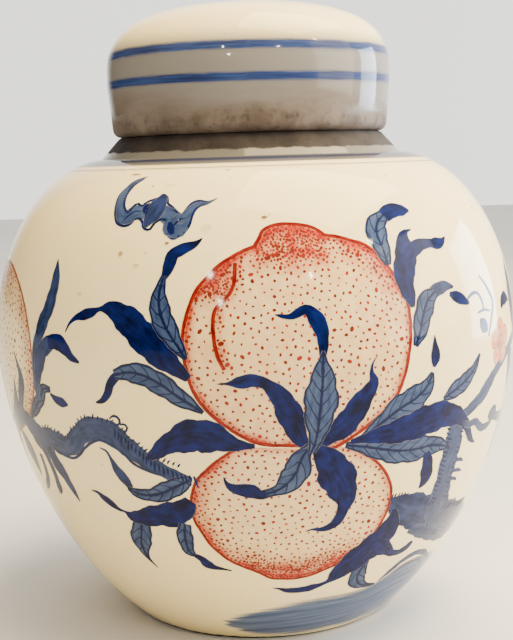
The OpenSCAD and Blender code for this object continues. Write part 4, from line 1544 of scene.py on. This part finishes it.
def soft_light(name, place, aim, width, tall, watts, hex_colour):
    """A rectangular soft light at a place, turned towards a point, both in metres."""
    bpy.ops.object.light_add(type="AREA", location=place)
    lamp = bpy.context.object
    lamp.name = name
    lamp.data.shape = "RECTANGLE"
    lamp.data.size = width
    lamp.data.size_y = tall
    lamp.data.energy = watts
    lamp.data.color = linear(hex_colour)[:3]
    away = lamp.location - type(lamp.location)(aim)
    lamp.rotation_euler = away.to_track_quat("Z", "Y").to_euler()
    return lamp


CAMERA_AT = np.array([0, -0.4203, 0.1648])


def seen_at(turn, up, distance):
    """Where a lamp hangs so that the camera sees its shine at a place on the jar."""
    spot = on_jar(turn, up) * MM
    beside = on_jar(turn + 0.5, up) * MM - spot
    higher = on_jar(turn, up + 1.0) * MM - spot
    normal = np.cross(beside, higher)
    normal /= np.linalg.norm(normal)
    view = CAMERA_AT - spot
    view /= np.linalg.norm(view)
    return spot + (2 * normal.dot(view) * normal - view) * distance, spot


soft_light("warm_overhead", (0.30, -0.05, 1.0), (0, 0, 0.16), 0.8, 0.7, 33.0, "#FFE5AE")
soft_light("key_right", (1.25, -0.40, 0.50), (0, 0, 0.11), 0.9, 0.9, 17.0, "#FFEFD0")
soft_light("left_fill", (-1.05, -0.60, 0.55), (0, 0, 0.11), 0.7, 0.7, 0.5, "#FFE8C6")
place, spot = seen_at(52, 128, 0.8)
soft_light("cool_window", place, spot, 0.34, 0.62, 16.0, "#D8EAFF")
for number, (turn, up) in enumerate([(-8.5, 143), (10.4, 142), (24, 151.5), (-6.5, 135)]):
    place, spot = seen_at(turn, up, 1.0)
    soft_light("small_lamp_" + str(number + 1), place, spot, 0.03, 0.045, 1.2, "#FFF0D6")

# %% [markdown]
# The camera stands a little above the belly, close in front, and looks slightly down. It is rolled
# by less than two degrees. Its own axes are worked out from those angles and written as a matrix.

# %% Camera
bpy.ops.object.camera_add()
camera = bpy.context.object
camera.name = "front_camera"
PITCH, YAW, ROLL = math.radians(8.22), math.radians(0.05), math.radians(-1.72)
ahead = np.array([math.sin(YAW) * math.cos(PITCH), math.cos(YAW) * math.cos(PITCH), -math.sin(PITCH)])
right = np.array([math.cos(YAW), -math.sin(YAW), 0])
above = np.cross(right, ahead)
side_axis = math.cos(ROLL) * right + math.sin(ROLL) * above
up_axis = -math.sin(ROLL) * right + math.cos(ROLL) * above
axes = np.eye(4)
axes[:3, 0], axes[:3, 1], axes[:3, 2] = side_axis, up_axis, -ahead
axes[:3, 3] = CAMERA_AT
camera.matrix_world = Matrix(axes.tolist())
camera.data.sensor_width = 36
camera.data.lens = 63.43
bpy.context.scene.camera = camera
print("camera", [round(v, 4) for v in camera.location])

# %% [markdown]
# Last, the bounds of the finished pieces and of the imported model are printed side by side.

# %% Measure and finish
visual_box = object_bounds()
for name, (low, high) in (("packed", cad_box), ("visual", visual_box)):
    print(name, [round(v, 5) for v in low], [round(v, 5) for v in high])
